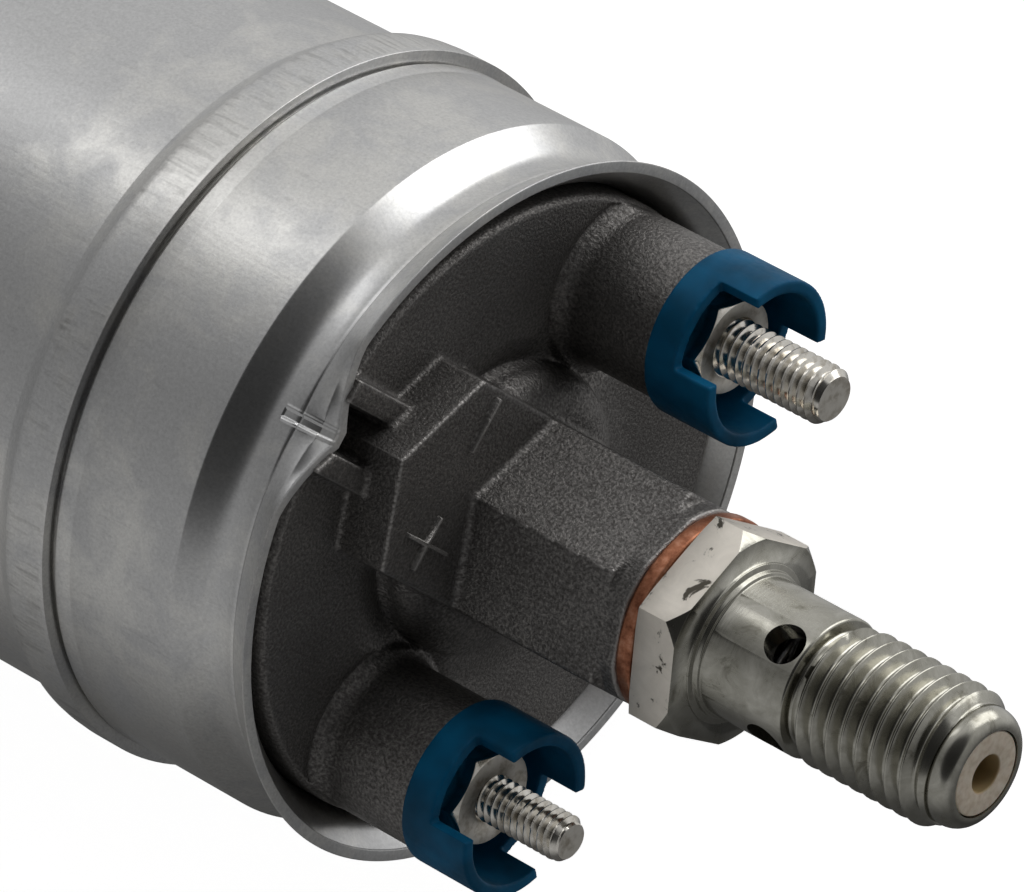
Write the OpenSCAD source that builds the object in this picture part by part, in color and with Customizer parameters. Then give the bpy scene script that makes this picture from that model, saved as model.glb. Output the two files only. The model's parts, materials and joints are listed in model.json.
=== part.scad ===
// Inline electric fuel pump: drawn casing, die-cast outlet cover, wound motor and toothed-ring pump.
// The pump axis is X and points to the outlet. The stake that keys the cover is on the +Z side.
// The origin is on the axis, in the middle of the plain length that a mounting band grips.

/* [Casing] */
// Outer radius of the drawn casing
body_r = 30; // [29:0.25:32]
// Wall of the casing
casing_wall = 1.5; // [1.2:0.1:1.8]
// Plain length that the mounting band grips
band_len = 98; // [92:1:120]
// Height of the rolled bead above the casing
bead_h = 0.9; // [0.5:0.1:1.3]
// Length of the ramp behind the bead
bead_ramp = 1.5; // [1:0.1:3]
// Width of the bead's crest
bead_w = 4.6; // [3:0.1:7]
// Plain length between the bead and the rolled front end
front_len = 13; // [11:0.5:18]
// Depth of the rolled neck that grips the cover
neck_depth = 1.4; // [1:0.1:1.8]
// Length from the plain front to the neck
front_roll_len = 3.4; // [3:0.1:5]
// Length from the neck to the front edge
lip_len = 4.5; // [3.5:0.1:6]
// Rise of the front edge above the neck
lip_rise = 1.8; // [1.2:0.1:2.4]
// Thickness of the front edge
lip_wall = 1; // [0.8:0.1:1.4]
// Length from the band's length to the rear neck
rear_roll_len = 4; // [3:0.1:5]
// Length from the rear neck to the rear edge
rear_lip_len = 4; // [3:0.1:5]
// Rise of the rear edge above the rear neck
rear_lip_rise = 1; // [0.6:0.1:1.6]
// Half angle of the dent that stakes the front edge over the cover
stake_angle = 15; // [12:1:20]
// Half angle of the flat that the punch leaves in the dent
stake_flat = 1.5; // [0.5:0.5:4]
// How far the dent presses the front edge inwards
stake_press = 3.9; // [2.4:0.1:4.2]
// How far round the casing the dent lies from the key
stake_turn = 1.8; // [0:0.2:3]

/* [Outlet cover] */
// Depth of the cover's face behind the casing's edge
face_inset = 1.2; // [0.8:0.1:1.8]
// Thickness of the cover's floor
cover_floor = 9; // [8:0.5:10]
// Depth of the cover's skirt behind its floor
skirt_len = 16; // [15:0.5:18]
// Wall of the cover's skirt
skirt_wall = 3.5; // [2.5:0.1:3.8]
// Across-flats size of the outlet tower and its plinth
tower_af = 17; // [16.6:0.1:18]
// Height of the tower above the casing's edge
tower_h = 19.4; // [17:0.1:24]
// Length of the turned end of the tower
spot_len = 1.8; // [1:0.1:2.5]
// How much each sloping side of the tower leans in towards its end
tower_draft = 1.1; // [0:0.1:1.4]
// Radius of the turned end of the tower
spot_r = 8.9; // [8.7:0.1:9.4]
// Reach of the plinth towards the stake
plinth_reach = 12.5; // [10:0.5:13]
// Height of the plinth above the casing's edge
plinth_h = 3.7; // [3:0.1:5]
// Radius of the round hub under the tower
hub_r = 12.4; // [11.8:0.1:13]
// Height of the hub above the cover's face
hub_h = 2.8; // [1.8:0.1:3.4]
// Width of the hub's rounded shoulder
hub_round = 3.4; // [1.8:0.1:3.8]
// Distance between the two keying lugs
lug_gap = 4; // [3:0.2:7]
// Width of each keying lug
lug_w = 2; // [1.6:0.1:3]
// Height of the keying lugs above the cover's face
lug_h = 1.7; // [1.2:0.1:3.2]
// Height of the raised polarity marks
mark_h = 0.35; // [0.2:0.05:0.6]
// Width of the cover's seal ring
seal_d = 2; // [1.8:0.1:2.4]

/* [Terminals] */
// Distance of the terminal bosses from the edge of the cover
boss_edge = 0.2; // [0.1:0.1:1]
// Radius of the terminal bosses
boss_r = 6.6; // [6.2:0.1:6.7]
// Height of the terminal bosses above the casing's edge
boss_h = 8.2; // [7:0.1:11]
// Radius of the fillet at the foot of each boss
boss_foot = 1.5; // [0.6:0.1:2]
// Radius of the negative stud
neg_stud_r = 2.5; // [2.3:0.1:2.6]
// Height of the negative stud above the casing's edge
neg_stud_h = 22.2; // [21:0.1:26]
// Radius of the positive stud
pos_stud_r = 2; // [1.8:0.1:2.3]
// Height of the positive stud above the casing's edge
pos_stud_h = 19.8; // [19:0.1:24]
// Depth of the studs' threads; the shank under the nut is thinner by as much
stud_thread = 0.4; // [0.3:0.05:0.5]
// Across-flats size of both nuts
nut_af = 8; // [7.6:0.1:8.4]
// Thickness of both nuts
nut_h = 2.5; // [2:0.1:3.2]
// Turn of the nuts about their studs
nut_turn = 34; // [0:1:60]
// Outer radius of the insulating collars
collar_r = 7.15; // [6.8:0.05:7.4]
// Wall of the collars
collar_wall = 1.1; // [0.9:0.1:1.3]
// Thickness of the collar's floor
collar_floor = 0.8; // [0.6:0.1:1.2]
// Height of the collar's closed ring
collar_ring_h = 3; // [2:0.1:4]
// Whole height of the collar
collar_h = 6.8; // [5.6:0.1:7.6]
// Angle of each gap in the collar
collar_gap = 67; // [50:1:90]
// Outer radius of the insulating bushes
bush_r = 3.6; // [3.4:0.1:3.8]
// Thickness of the bush's flange
bush_flange = 1.5; // [1:0.1:2]
// Thickness of the stud's head
stud_head_h = 2.5; // [2:0.1:3]

/* [Outlet fitting] */
// Radius of the sealing washer
washer_r = 9; // [8.9:0.1:9.6]
// Thickness of the sealing washer
washer_t = 1.5; // [1:0.1:2]
// Radius of the fitting's shank and threads
shank_r = 6; // [5.8:0.1:6.3]
// Across-flats size of the fitting's hexagon
fitting_af = 17; // [16.8:0.1:19]
// Turn of the fitting's hexagon about the axis
fitting_turn = 8; // [0:1:60]
// Thickness of the fitting's hexagon
fitting_hex_h = 4.1; // [3.5:0.1:6]
// Length of the fitting's threaded spigot
spigot_len = 14.5; // [12:0.5:15]
// Length of the plain shank, from the hexagon to the thread
shank_len = 9; // [8.6:0.1:14]
// Length of the outlet thread
thread_len = 13.4; // [12:0.1:18]
// Length of the domed tip
tip_len = 2.6; // [1.6:0.1:3]
// Radius of the fitting's bore
fitting_bore_r = 3.7; // [3.5:0.1:3.9]
// Radius of each cross hole
cross_r = 1.65; // [1.2:0.05:1.8]
// Distance from the cross holes to the thread
cross_back = 1.9; // [1.9:0.1:3]
// Radius of the bore in the plastic insert
insert_bore_r = 1.6; // [1.2:0.1:2]
// Distance from the cross holes to the plastic insert
insert_gap = 2.8; // [2.6:0.1:4]

/* [Check valve] */
// Length of the valve seat
seat_len = 4; // [3:0.1:5]
// Radius of the hole in the valve seat
seat_hole_r = 2; // [1.6:0.1:2.2]
// Radius of the plunger's head
plunger_r = 3; // [2.8:0.1:3.1]
// Thickness of the plunger's head
plunger_h = 3; // [2:0.1:4]
// Radius of the plunger's stem
plunger_stem_r = 1.2; // [0.8:0.1:1.3]
// Length of the plunger's stem
plunger_stem_len = 8; // [5:0.5:9]
// Thickness of the rubber face of the plunger
valve_face_t = 1; // [0.6:0.1:1.4]

/* [Motor] */
// Radius of the armature shaft
shaft_r = 3; // [2.6:0.1:3.2]
// Length of the armature's iron core
core_len = 40; // [34:1:41]
// Number of slots in the core and bars in the commutator
slots = 10; // [8:1:12]
// Width of each slot in the core
slot_w = 3; // [2.4:0.1:3.2]
// Air gap between the core and the magnets
air_gap = 0.7; // [0.5:0.05:1]
// Thickness of the magnets
magnet_t = 6.6; // [6:0.1:7]
// Angle that each magnet spans
magnet_angle = 140; // [120:1:150]
// Wall of the steel pole tube
pole_wall = 3; // [2.4:0.1:3.2]
// Length of each end of the winding
winding_len = 6.2; // [5:0.1:6.6]
// Thickness of the insulating plates on the core
insulator_t = 0.8; // [0.6:0.1:1]
// Radius of the commutator
comm_r = 11; // [10.4:0.1:11.4]
// Length of the commutator
comm_len = 11; // [10.4:0.1:12]
// Thickness of the commutator's bars
bar_t = 3; // [2:0.1:3.5]
// Width of the gap between the bars
bar_gap = 0.6; // [0.4:0.1:0.8]
// Thickness of the brush holder's flange
holder_t = 3; // [2.5:0.1:4]
// Width of each brush along the commutator's edge
brush_w = 6; // [5:0.1:6.6]
// Length of each brush along the axis
brush_h = 7.6; // [6:0.1:8]
// Length of each brush, outwards from the commutator
brush_len = 8.2; // [7:0.1:8.6]
// Radius of the shaft's bushes
bush_out_r = 5.5; // [5:0.1:6]
// Length of the front bush
front_bush_len = 8; // [6:0.5:9]
// Width of the rear thrust washer
thrust_w = 3; // [2:0.1:3.4]
// Thickness of the thrust washers
thrust_t = 0.8; // [0.6:0.1:1.2]
// Radius of the ferrite rods of the chokes
choke_r = 2.6; // [2.2:0.1:3]
// Length of the chokes
choke_len = 9; // [8:0.1:9.4]

/* [Pump section] */
// Distance between the axes of the two rotors
ecc = 1.3; // [1.2:0.05:1.35]
// Radius of the circle that the outer rotor's teeth lie on
pin_circle_r = 12.4; // [12:0.1:12.6]
// Radius of the outer rotor's teeth
pin_r = 2.7; // [2.5:0.1:2.8]
// Thickness of both rotors
rotor_t = 8; // [6:0.5:8.5]
// Outer radius of the outer rotor
outer_rotor_r = 16.1; // [15.8:0.1:16.6]
// Thickness of the plate between the pump and the motor
plate_t = 6; // [5:0.5:7]
// Radius of the drive coupling's sleeve
coupling_r = 5; // [4.6:0.1:5.2]
// Radius of the pump's screws
screw_r = 1.5; // [1.3:0.1:1.6]
// Radius of the relief valve's ball
ball_r = 2.4; // [2.2:0.1:2.6]
// Distance of the relief valve from the edge of the pump plate
relief_inset = 6.8; // [6.2:0.1:7.2]
// Length of the relief valve's seat
relief_seat_len = 3; // [2.4:0.1:3.4]

/* [Inlet cover] */
// Thickness of the inlet cover
inlet_t = 14; // [13.6:0.1:16]
// Radius of the inlet boss
inlet_boss_r = 14; // [12.5:0.5:16]
// Height of the inlet boss above the casing's rear edge
inlet_boss_h = 16; // [14:0.5:22]
// Radius of the inlet thread's bore
inlet_bore_r = 8.2; // [7.8:0.1:8.6]
// Length of the inlet thread
inlet_thread_len = 12; // [10:0.5:12.5]
// Depth of the gallery behind the cover's front face
gallery_depth = 8; // [7:0.5:9]
// Length of the gallery along the axis
gallery_len = 3; // [2:0.5:4]
// Radius of the gallery
gallery_r = 11; // [10:0.5:12]
// Distance of the seal ring from the cover's front face
inlet_seal_back = 3; // [2.5:0.1:3.4]
// Radius of the strainer
strainer_r = 7.8; // [7.2:0.1:8]
// Width of the strainer's rim
strainer_wall = 2.6; // [2:0.1:3.2]
// Thickness of the strainer's rim
strainer_rim = 1.6; // [1:0.1:2]
// Width of the strainer's ribs
strainer_rib = 1.4; // [1:0.1:2]
// Thickness of the strainer's mesh
strainer_mesh_t = 0.3; // [0.2:0.05:0.4]

/* [Fits] */
// Radial gap of parts that are pressed or clamped in place
press_gap = 0.02; // [0.01:0.005:0.04]
// Radial gap of parts that slip into the casing
slip_gap = 0.1; // [0.05:0.01:0.15]
// Radial gap of parts that turn or slide
run_gap = 0.05; // [0.03:0.01:0.08]
// Gap of faces that pass each other without touching
free_gap = 0.3; // [0.2:0.05:0.5]

/* [Hidden] */
$fn = 96;
tiny = 0.01;
over = 1;
curve_steps = 8;

// Radii that follow the casing
bore_r = body_r - casing_wall;
bead_r = body_r + bead_h;
neck_r = body_r - neck_depth;
neck_bore_r = neck_r - casing_wall;
lip_r = neck_r + lip_rise;
inner_r = bore_r - slip_gap;
face_r = neck_bore_r - slip_gap;

// Places along the axis: the casing
band_front = band_len / 2;
bead_front = band_front + bead_ramp + bead_w;
front_end = bead_front + front_len;
neck_z = front_end + front_roll_len;
lip_z = neck_z + lip_len;
band_rear = -band_len / 2;
rear_neck_z = band_rear - rear_roll_len;
rear_lip_z = rear_neck_z - rear_lip_len;
bead_edge = 0.3;

// Places along the axis: the outlet cover and what stands on it
face_z = lip_z - face_inset;
shoulder_len = 3;
shoulder_back = 1.1;
shoulder_z = front_end - shoulder_back;
floor_z = face_z - cover_floor;
skirt_z = floor_z - skirt_len;
cavity_r = inner_r - skirt_wall;
seal_z = skirt_z + skirt_len / 2;
tower_z = lip_z + tower_h;
plinth_z = lip_z + plinth_h;
boss_z = lip_z + boss_h;
nut_top_z = boss_z + collar_floor + nut_h;
edge_round = 0.4;

// Hexagons: the distance from the axis to a corner
function corner_r(across_flats) = across_flats / sqrt(3);
terminal_offset = face_r - boss_r - boss_edge;

// Places along the axis: the fitting and its valve
washer_z = tower_z;
hex_z = washer_z + washer_t;
hex_front_z = hex_z + fitting_hex_h;
thread_z = hex_front_z + shank_len;
tip_z = thread_z + thread_len;
fitting_end_z = tip_z + tip_len;
spigot_z = hex_z - spigot_len;
cross_z = thread_z - cross_back;
insert_z = cross_z + insert_gap;
tap_clear = 2;
tap_z = spigot_z - tap_clear;
passage_r = 5;
collar_step_h = 0.8;
collar_step_r = shank_r + 0.8;
valve_z = spigot_z + seat_len + run_gap;
plunger_z = valve_z + valve_face_t;
valve_spring_z = plunger_z + plunger_h;

// Places along the axis: the motor, counted back from the cover's skirt
holder_z = skirt_z - holder_t;
comm_front = holder_z - 2 * free_gap;
comm_z = comm_front - comm_len;
core_gap = 0.4;
winding_z = comm_z - core_gap - winding_len;
core_front = winding_z - insulator_t;
core_z = core_front - core_len;
magnet_over = 2;
pole_bore_r = inner_r - pole_wall;
magnet_r = pole_bore_r - press_gap;
magnet_bore_r = magnet_r - magnet_t;
core_r = magnet_bore_r - air_gap;
slot_depth_r = core_r - 1.6;
slot_root_r = 9.4;
winding_r = slot_depth_r - 0.2;
hub_front_len = front_bush_len;
hub_front_r = bush_out_r + 2;
shaft_front_z = skirt_z + hub_front_len + 0.5;
brush_in_r = comm_r + free_gap;
brush_out_r = brush_in_r + brush_len;
brush_z = comm_z + (comm_len - brush_h) / 2;
guide_wall = 1.2;
guide_in_r = brush_in_r + 1.2;
guide_out_r = pole_bore_r - guide_wall - 0.7;
spring_room = guide_out_r - brush_out_r;

// Places along the axis: the pump section, counted forward from the rear edge
inlet_face_z = rear_lip_z + face_inset;
inlet_front_z = inlet_face_z + inlet_t;
side_gap = 0.05;
ring_z = inlet_front_z;
ring_t = rotor_t + 2 * side_gap;
plate_z = ring_z + ring_t;
pole_z = plate_z + plate_t;
inlet_end_z = rear_lip_z - inlet_boss_h;
chamber_z = inlet_end_z + inlet_thread_len;
chamber_r = strainer_r + slip_gap;
gallery_z = inlet_front_z - gallery_depth;
relief_angle = 180;
relief_circle_r = inner_r - relief_inset;
screw_angle = 0;
screw_head_r = 2.75;
screw_head_h = 2.4;
screw_bite = 6;
screw_circle_r = pole_bore_r - screw_head_r - 0.75;
ring_bore_r = outer_rotor_r + run_gap;
port_in_r = pin_circle_r - pin_r - ecc + 0.2;
port_out_r = pin_circle_r - pin_r + 2 * ecc - 0.5;

// Relief valve
relief_hole_r = 1.7;
relief_bore_r = ball_r + 0.6;
ball_z = inlet_front_z - relief_seat_len - sqrt(ball_r * ball_r - relief_hole_r * relief_hole_r) - run_gap;
relief_bottom_z = inlet_face_z + 1.6;

// Turns a piece drawn along Z, with its keyed side at +X, onto the pump axis
module on_axis() {
    rotate([0, 90, 0])
        rotate([0, 0, 180])
            children();
}

// Side 1 is the positive terminal, side -1 the negative one
module at_terminal(side) {
    translate([0, side * terminal_offset, 0])
        children();
}

module at_relief() {
    rotate([0, 0, relief_angle])
        translate([relief_circle_r, 0, 0])
            children();
}

module at_screws() {
    for (k = [0:2])
        rotate([0, 0, screw_angle + 120 * k])
            translate([screw_circle_r, 0, 0])
                children();
}

// A round piece between two heights
module rod(r, z0, z1) {
    translate([0, 0, z0])
        cylinder(r = r, h = z1 - z0);
}

module tube(r_out, r_in, z0, z1) {
    difference() {
        rod(r_out, z0, z1);
        rod(r_in, z0 - over, z1 + over);
    }
}

// A box with its near face at x0, centred on the X axis
module bar(x0, x1, w, z0, z1) {
    translate([x0, -w / 2, z0])
        cube([x1 - x0, w, z1 - z0]);
}

module hexagon(across_flats, z0, z1) {
    translate([0, 0, z0])
        cylinder(r = corner_r(across_flats), h = z1 - z0, $fn = 6);
}

// A sector of a ring, from angle a0 to a1 and less than half a turn wide
module ring_sector(r_out, r_in, a0, a1, z0, z1) {
    far = 2 * r_out;
    mid = (a0 + a1) / 2;
    intersection() {
        tube(r_out, r_in, z0, z1);
        translate([0, 0, z0 - over])
            linear_extrude(z1 - z0 + 2 * over)
                polygon([[0, 0], far * [cos(a0), sin(a0)], far * [cos(mid), sin(mid)],
                    far * [cos(a1), sin(a1)]]);
    }
}

// A concave fillet where a round boss meets a face
module boss_fillet(boss, fillet, z) {
    translate([0, 0, z])
        rotate_extrude()
            difference() {
                translate([boss - tiny, -tiny])
                    square([fillet + tiny, fillet + tiny]);
                translate([boss + fillet, fillet])
                    circle(r = fillet);
            }
}

function reversed(list) = [for (i = [len(list) - 1:-1:0]) list[i]];

// Curves of the casing's profile, as [radius, height] points
function dip(r0, r1, z0, z1) = [for (i = [0:curve_steps - 1])
    let (u = i / curve_steps) [r1 + (r0 - r1) * (1 - u) * (1 - u), z0 + (z1 - z0) * u]];
function flare(r0, r1, z0, z1) = [for (i = [0:curve_steps])
    let (u = i / curve_steps) [r0 + (r1 - r0) * u * u, z0 + (z1 - z0) * u]];
function swell(r0, r1, z0, z1) = [for (i = [0:curve_steps])
    let (u = i / curve_steps) [r0 + (r1 - r0) * (1 - cos(180 * u)) / 2, z0 + (z1 - z0) * u]];

// A coil spring along Z: one unbroken wire of six sides, with eight rings to a turn
rings_per_turn = 8;
wire_sides = 6;
function coil_point(r, turns, len, wire, i, n) = let (a = 360 * turns * i / n)
    [r * cos(a), r * sin(a), wire + (len - 2 * wire) * i / n];
function coil_rings(r, turns, len, wire) = let (n = ceil(turns * rings_per_turn))
    [for (i = [0:n]) for (k = [0:wire_sides - 1])
        let (a = 360 * turns * i / n, b = 360 * k / wire_sides, c = coil_point(r, turns, len, wire, i, n))
            c + wire * [cos(b) * cos(a), cos(b) * sin(a), sin(b)]];
function coil_faces(n) = concat(
    [for (i = [0:n - 1]) for (k = [0:wire_sides - 1])
        let (j = (k + 1) % wire_sides) [i * wire_sides + k, (i + 1) * wire_sides + k, i * wire_sides + j]],
    [for (i = [0:n - 1]) for (k = [0:wire_sides - 1])
        let (j = (k + 1) % wire_sides)
            [i * wire_sides + j, (i + 1) * wire_sides + k, (i + 1) * wire_sides + j]],
    [for (k = [1:wire_sides - 2]) [0, k, k + 1]],
    [for (k = [1:wire_sides - 2]) [n * wire_sides, n * wire_sides + k + 1, n * wire_sides + k]]);
function coil_gap(turns, len, wire) = (len - 2 * wire) / turns - 2 * wire;

module coil_spring(r, turns, len, wire, z) {
    echo(least_gap_of_spring = coil_gap(turns, len, wire));
    translate([0, 0, z])
        polyhedron(points = coil_rings(r, turns, len, wire),
            faces = coil_faces(ceil(turns * rings_per_turn)), convexity = 10);
}

// The dent: how much of the press reaches an angle, and a share u of the way from the neck to the edge.
// Its skin lies just inside the casing's own, so that the two join cleanly.
stake_skin = 0.06;
stake_lap = 0.2;
stake_steps = 20;
stake_bend = (face_z + tiny - neck_z) / lip_len;
stake_share = (lip_r - lip_wall - neck_bore_r) / stake_press;
function stake_around(a) =
    pow(1 - min(1, max(0, abs(a) - stake_flat) / (stake_angle - stake_flat)), 1.4);
function stake_along(u) =
    stake_share * u * u + (1 - stake_share) * max(0, (u - stake_bend) / (1 - stake_bend));
function stake_point(r0, r1, a, u) =
    let (r = r0 + (r1 - r0) * u * u - stake_press * stake_around(a) * stake_along(u))
        [r * cos(a), r * sin(a), neck_z + lip_len * u - stake_skin];
function stake_slice(a) = concat(
    [for (i = [0:curve_steps]) stake_point(neck_r - stake_skin, lip_r - stake_skin, a, i / curve_steps)],
    [for (i = [curve_steps:-1:0])
        stake_point(neck_bore_r + stake_skin, lip_r - lip_wall + stake_skin, a, i / curve_steps)]);

module stake_dent() {
    side = 2 * curve_steps + 2;
    last = side * stake_steps;
    corners = [for (k = [0:stake_steps])
        each stake_slice((stake_angle + stake_lap) * (2 * k / stake_steps - 1))];
    skin = [for (k = [0:stake_steps - 1]) for (i = [0:side - 1])
        let (j = (i + 1) % side, p = k * side, q = p + side)
            each [[p + i, q + j, q + i], [p + i, p + j, q + j]]];
    first_end = [for (i = [0:curve_steps - 1])
        each [[i, side - 2 - i, i + 1], [i, side - 1 - i, side - 2 - i]]];
    last_end = [for (i = [0:curve_steps - 1])
        each [[last + i, last + i + 1, last + side - 2 - i],
            [last + i, last + side - 2 - i, last + side - 1 - i]]];
    polyhedron(points = corners, faces = concat(skin, first_end, last_end), convexity = 6);
}

module casing() {
    front_out = concat([[body_r, front_end]], dip(body_r, neck_r, front_end, neck_z),
        flare(neck_r, lip_r, neck_z, lip_z));
    front_in = concat(dip(bore_r, neck_bore_r, front_end, neck_z),
        flare(neck_bore_r, lip_r - lip_wall, neck_z, lip_z));
    rear_out = reversed(concat(dip(body_r, neck_r, band_rear, rear_neck_z),
        flare(neck_r, neck_r + rear_lip_rise, rear_neck_z, rear_lip_z)));
    rear_in = reversed(concat(dip(bore_r, neck_bore_r, band_rear, rear_neck_z),
        flare(neck_bore_r, neck_r + rear_lip_rise - lip_wall, rear_neck_z, rear_lip_z)));
    bead_out = concat(swell(body_r, bead_r, band_front, band_front + bead_ramp),
        [[bead_r, bead_front - bead_edge], [bead_r - bead_edge, bead_front], [body_r, bead_front]]);
    bead_in = concat(swell(bore_r, bead_r - casing_wall, band_front, band_front + bead_ramp),
        [[bead_r - casing_wall, bead_front - casing_wall], [bore_r, bead_front - casing_wall]]);
    outline = concat(rear_out, bead_out, front_out, reversed(concat(rear_in, bead_in, front_in)));
    color("silver")
        on_axis()
            union() {
                difference() {
                    rotate_extrude()
                        polygon(outline);
                    rotate([0, 0, stake_turn])
                        translate([0, 0, neck_z + stake_lap])
                            linear_extrude(lip_len + over)
                                polygon([[0, 0], 2 * body_r * [cos(stake_angle), -sin(stake_angle)],
                                    2 * body_r * [1, 0], 2 * body_r * [cos(stake_angle), sin(stake_angle)]]);
                }
                rotate([0, 0, stake_turn])
                    stake_dent();
            }
}

// How far a lug may reach at a distance y from the key: to the face's edge, clear of the dent
function lug_reach(y) = let (a = abs(asin(y / face_r) - stake_turn),
        dent_r = lip_r - lip_wall - stake_press * stake_around(a) - free_gap,
        r = min(face_r, dent_r))
    sqrt(r * r - y * y);

module lug(side) {
    near = side * lug_gap / 2;
    far = near + side * lug_w;
    translate([0, 0, face_z - tiny])
        linear_extrude(lug_h + tiny)
            polygon([[plinth_reach, near], [lug_reach(near), near], [lug_reach(far), far],
                [plinth_reach, far]]);
}

// The die-cast face: hub, plinth, tower, lugs and terminal bosses
module cover_front() {
    shoulder_r = hub_r - hub_round;
    rotate_extrude()
        polygon([[0, floor_z], [cavity_r, floor_z], [cavity_r, skirt_z], [inner_r, skirt_z],
            [inner_r, shoulder_z], [face_r, shoulder_z + shoulder_len], [face_r, face_z - edge_round],
            [face_r - edge_round, face_z], [0, face_z]]);
    rotate_extrude()
        polygon(concat([[0, face_z - over], [hub_r, face_z - over], [hub_r, face_z]],
            [for (i = [1:curve_steps]) let (a = 90 * i / curve_steps)
                [shoulder_r + hub_round * cos(a), face_z + hub_h * sin(a)]],
            [[0, face_z + hub_h]]));
    intersection() {
        hull() {
            hexagon(tower_af + 2 * tower_draft, face_z, plinth_z);
            hexagon(tower_af, tower_z - spot_len - tiny, tower_z - spot_len);
        }
        bar(-face_r, face_r, tower_af, face_z, tower_z);
    }
    intersection() {
        hexagon(tower_af, tower_z - spot_len - tiny, tower_z);
        rod(spot_r, tower_z - spot_len - tiny, tower_z);
    }
    translate([plinth_reach, 0, 0])
        hexagon(tower_af, face_z - tiny, plinth_z);
    bar(0, plinth_reach, tower_af, face_z - tiny, plinth_z);
    for (side = [-1, 1]) {
        lug(side);
        at_terminal(side) {
            rod(boss_r, face_z - tiny, boss_z);
            intersection() {
                boss_fillet(boss_r, boss_foot, face_z);
                translate([0, -side * terminal_offset, 0])
                    rod(face_r - edge_round, face_z - over, face_z + boss_foot);
            }
        }
    }
}

module polarity_marks() {
    mark_w = 0.7;
    mark_len = 4.8;
    mark_x = plinth_reach + 1.6;
    mark_y = 0.3 * tower_af;
    translate([mark_x, 0, plinth_z - tiny]) {
        translate([-mark_w / 2, -mark_y - mark_len / 2, 0])
            cube([mark_w, mark_len, mark_h + tiny]);
        translate([-mark_w / 2, mark_y - mark_len / 2, 0])
            cube([mark_w, mark_len, mark_h + tiny]);
        translate([-mark_len / 2, mark_y - mark_w / 2, 0])
            cube([mark_len, mark_w, mark_h + tiny]);
    }
}

module outlet_cover() {
    color("dimgray")
        on_axis()
            difference() {
                union() {
                    cover_front();
                    polarity_marks();
                }
                rod(passage_r, floor_z - over, tap_z + over);
                rod(shank_r + press_gap, tap_z, tower_z + over);
                rotate_extrude()
                    translate([inner_r - seal_d + slip_gap, seal_z - seal_d / 2 - slip_gap])
                        square([seal_d + over, seal_d + 2 * slip_gap]);
                for (side = [-1, 1])
                    at_terminal(side)
                        rod(bush_r + press_gap, floor_z - over, boss_z + over);
            }
}

module outlet_cover_seal() {
    color("black")
        on_axis()
            translate([0, 0, seal_z])
                rotate_extrude()
                    translate([bore_r - seal_d / 2 - press_gap, 0])
                        circle(r = (seal_d - slip_gap) / 2);
}

module outlet_fitting() {
    wide = corner_r(fitting_af) + 1;
    tip_round = 1.4;
    color("lightgray")
        on_axis()
            difference() {
                union() {
                    rod(shank_r, spigot_z, tip_z);
                    intersection() {
                        rotate([0, 0, fitting_turn])
                            hexagon(fitting_af, hex_z, hex_front_z);
                        rotate_extrude()
                            polygon([[0, hex_z], [fitting_af / 2, hex_z], [wide, hex_z + 1],
                                [wide, hex_front_z - 1.8], [fitting_af / 2 - 0.3, hex_front_z],
                                [0, hex_front_z]]);
                    }
                    rod(collar_step_r, hex_front_z - tiny, hex_front_z + collar_step_h);
                    rotate_extrude()
                        polygon(concat([[0, tip_z - tiny], [shank_r, tip_z - tiny]],
                            [for (i = [0:curve_steps]) let (a = 90 * i / curve_steps)
                                [shank_r - tip_round + tip_round * cos(a), tip_z + tip_len * sin(a)]],
                            [[0, fitting_end_z]]));
                }
                rod(fitting_bore_r, spigot_z - over, fitting_end_z + over);
                for (k = [0, 1])
                    translate([0, 0, cross_z])
                        rotate([0, 0, 90 * k - 15])
                            rotate([0, 90, 0])
                                cylinder(r = cross_r, h = 4 * shank_r, center = true);
            }
}

module sealing_washer() {
    color("chocolate")
        on_axis()
            tube(washer_r, shank_r + slip_gap, washer_z, hex_z);
}

module fitting_insert() {
    color("antiquewhite")
        on_axis()
            tube(fitting_bore_r - press_gap, insert_bore_r, insert_z, fitting_end_z);
}

module valve_seat() {
    color("goldenrod")
        on_axis()
            tube(fitting_bore_r - press_gap, seat_hole_r, spigot_z, spigot_z + seat_len);
}

module check_valve_plunger() {
    color("white")
        on_axis() {
            rod(plunger_r, plunger_z, valve_spring_z);
            rod(plunger_stem_r, valve_spring_z - tiny, valve_spring_z + plunger_stem_len);
        }
}

module check_valve_face() {
    color("black")
        on_axis()
            rod(plunger_r - 0.2, valve_z, plunger_z);
}

module check_valve_spring() {
    wire = 0.3;
    turns = 10;
    color("silver")
        on_axis()
            coil_spring(fitting_bore_r - wire - free_gap, turns, insert_z - valve_spring_z, wire,
                valve_spring_z);
}

module stud(side, r, height) {
    head_r = bush_r + 0.4;
    head_z = floor_z - bush_flange;
    on_axis()
        at_terminal(side) {
            rod(head_r, head_z - stud_head_h, head_z);
            rod(r - stud_thread, head_z - tiny, nut_top_z);
            rod(r, nut_top_z - tiny, lip_z + height);
        }
}

module negative_stud() {
    color("lightgray")
        stud(-1, neg_stud_r, neg_stud_h);
}

module positive_stud() {
    color("lightgray")
        stud(1, pos_stud_r, pos_stud_h);
}

module nut(side, r) {
    nut_z = nut_top_z - nut_h;
    wide = corner_r(nut_af) + 1;
    on_axis()
        at_terminal(side)
            difference() {
                intersection() {
                    rotate([0, 0, nut_turn])
                        hexagon(nut_af, nut_z, nut_z + nut_h);
                    rotate_extrude()
                        polygon([[0, nut_z], [wide, nut_z], [wide, nut_z + nut_h - 0.9],
                            [nut_af / 2 - 0.1, nut_z + nut_h], [0, nut_z + nut_h]]);
                }
                rod(r - stud_thread + press_gap, nut_z - over, nut_z + nut_h + over);
            }
}

module negative_nut() {
    color("gainsboro")
        nut(-1, neg_stud_r);
}

module positive_nut() {
    color("gainsboro")
        nut(1, pos_stud_r);
}

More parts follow.
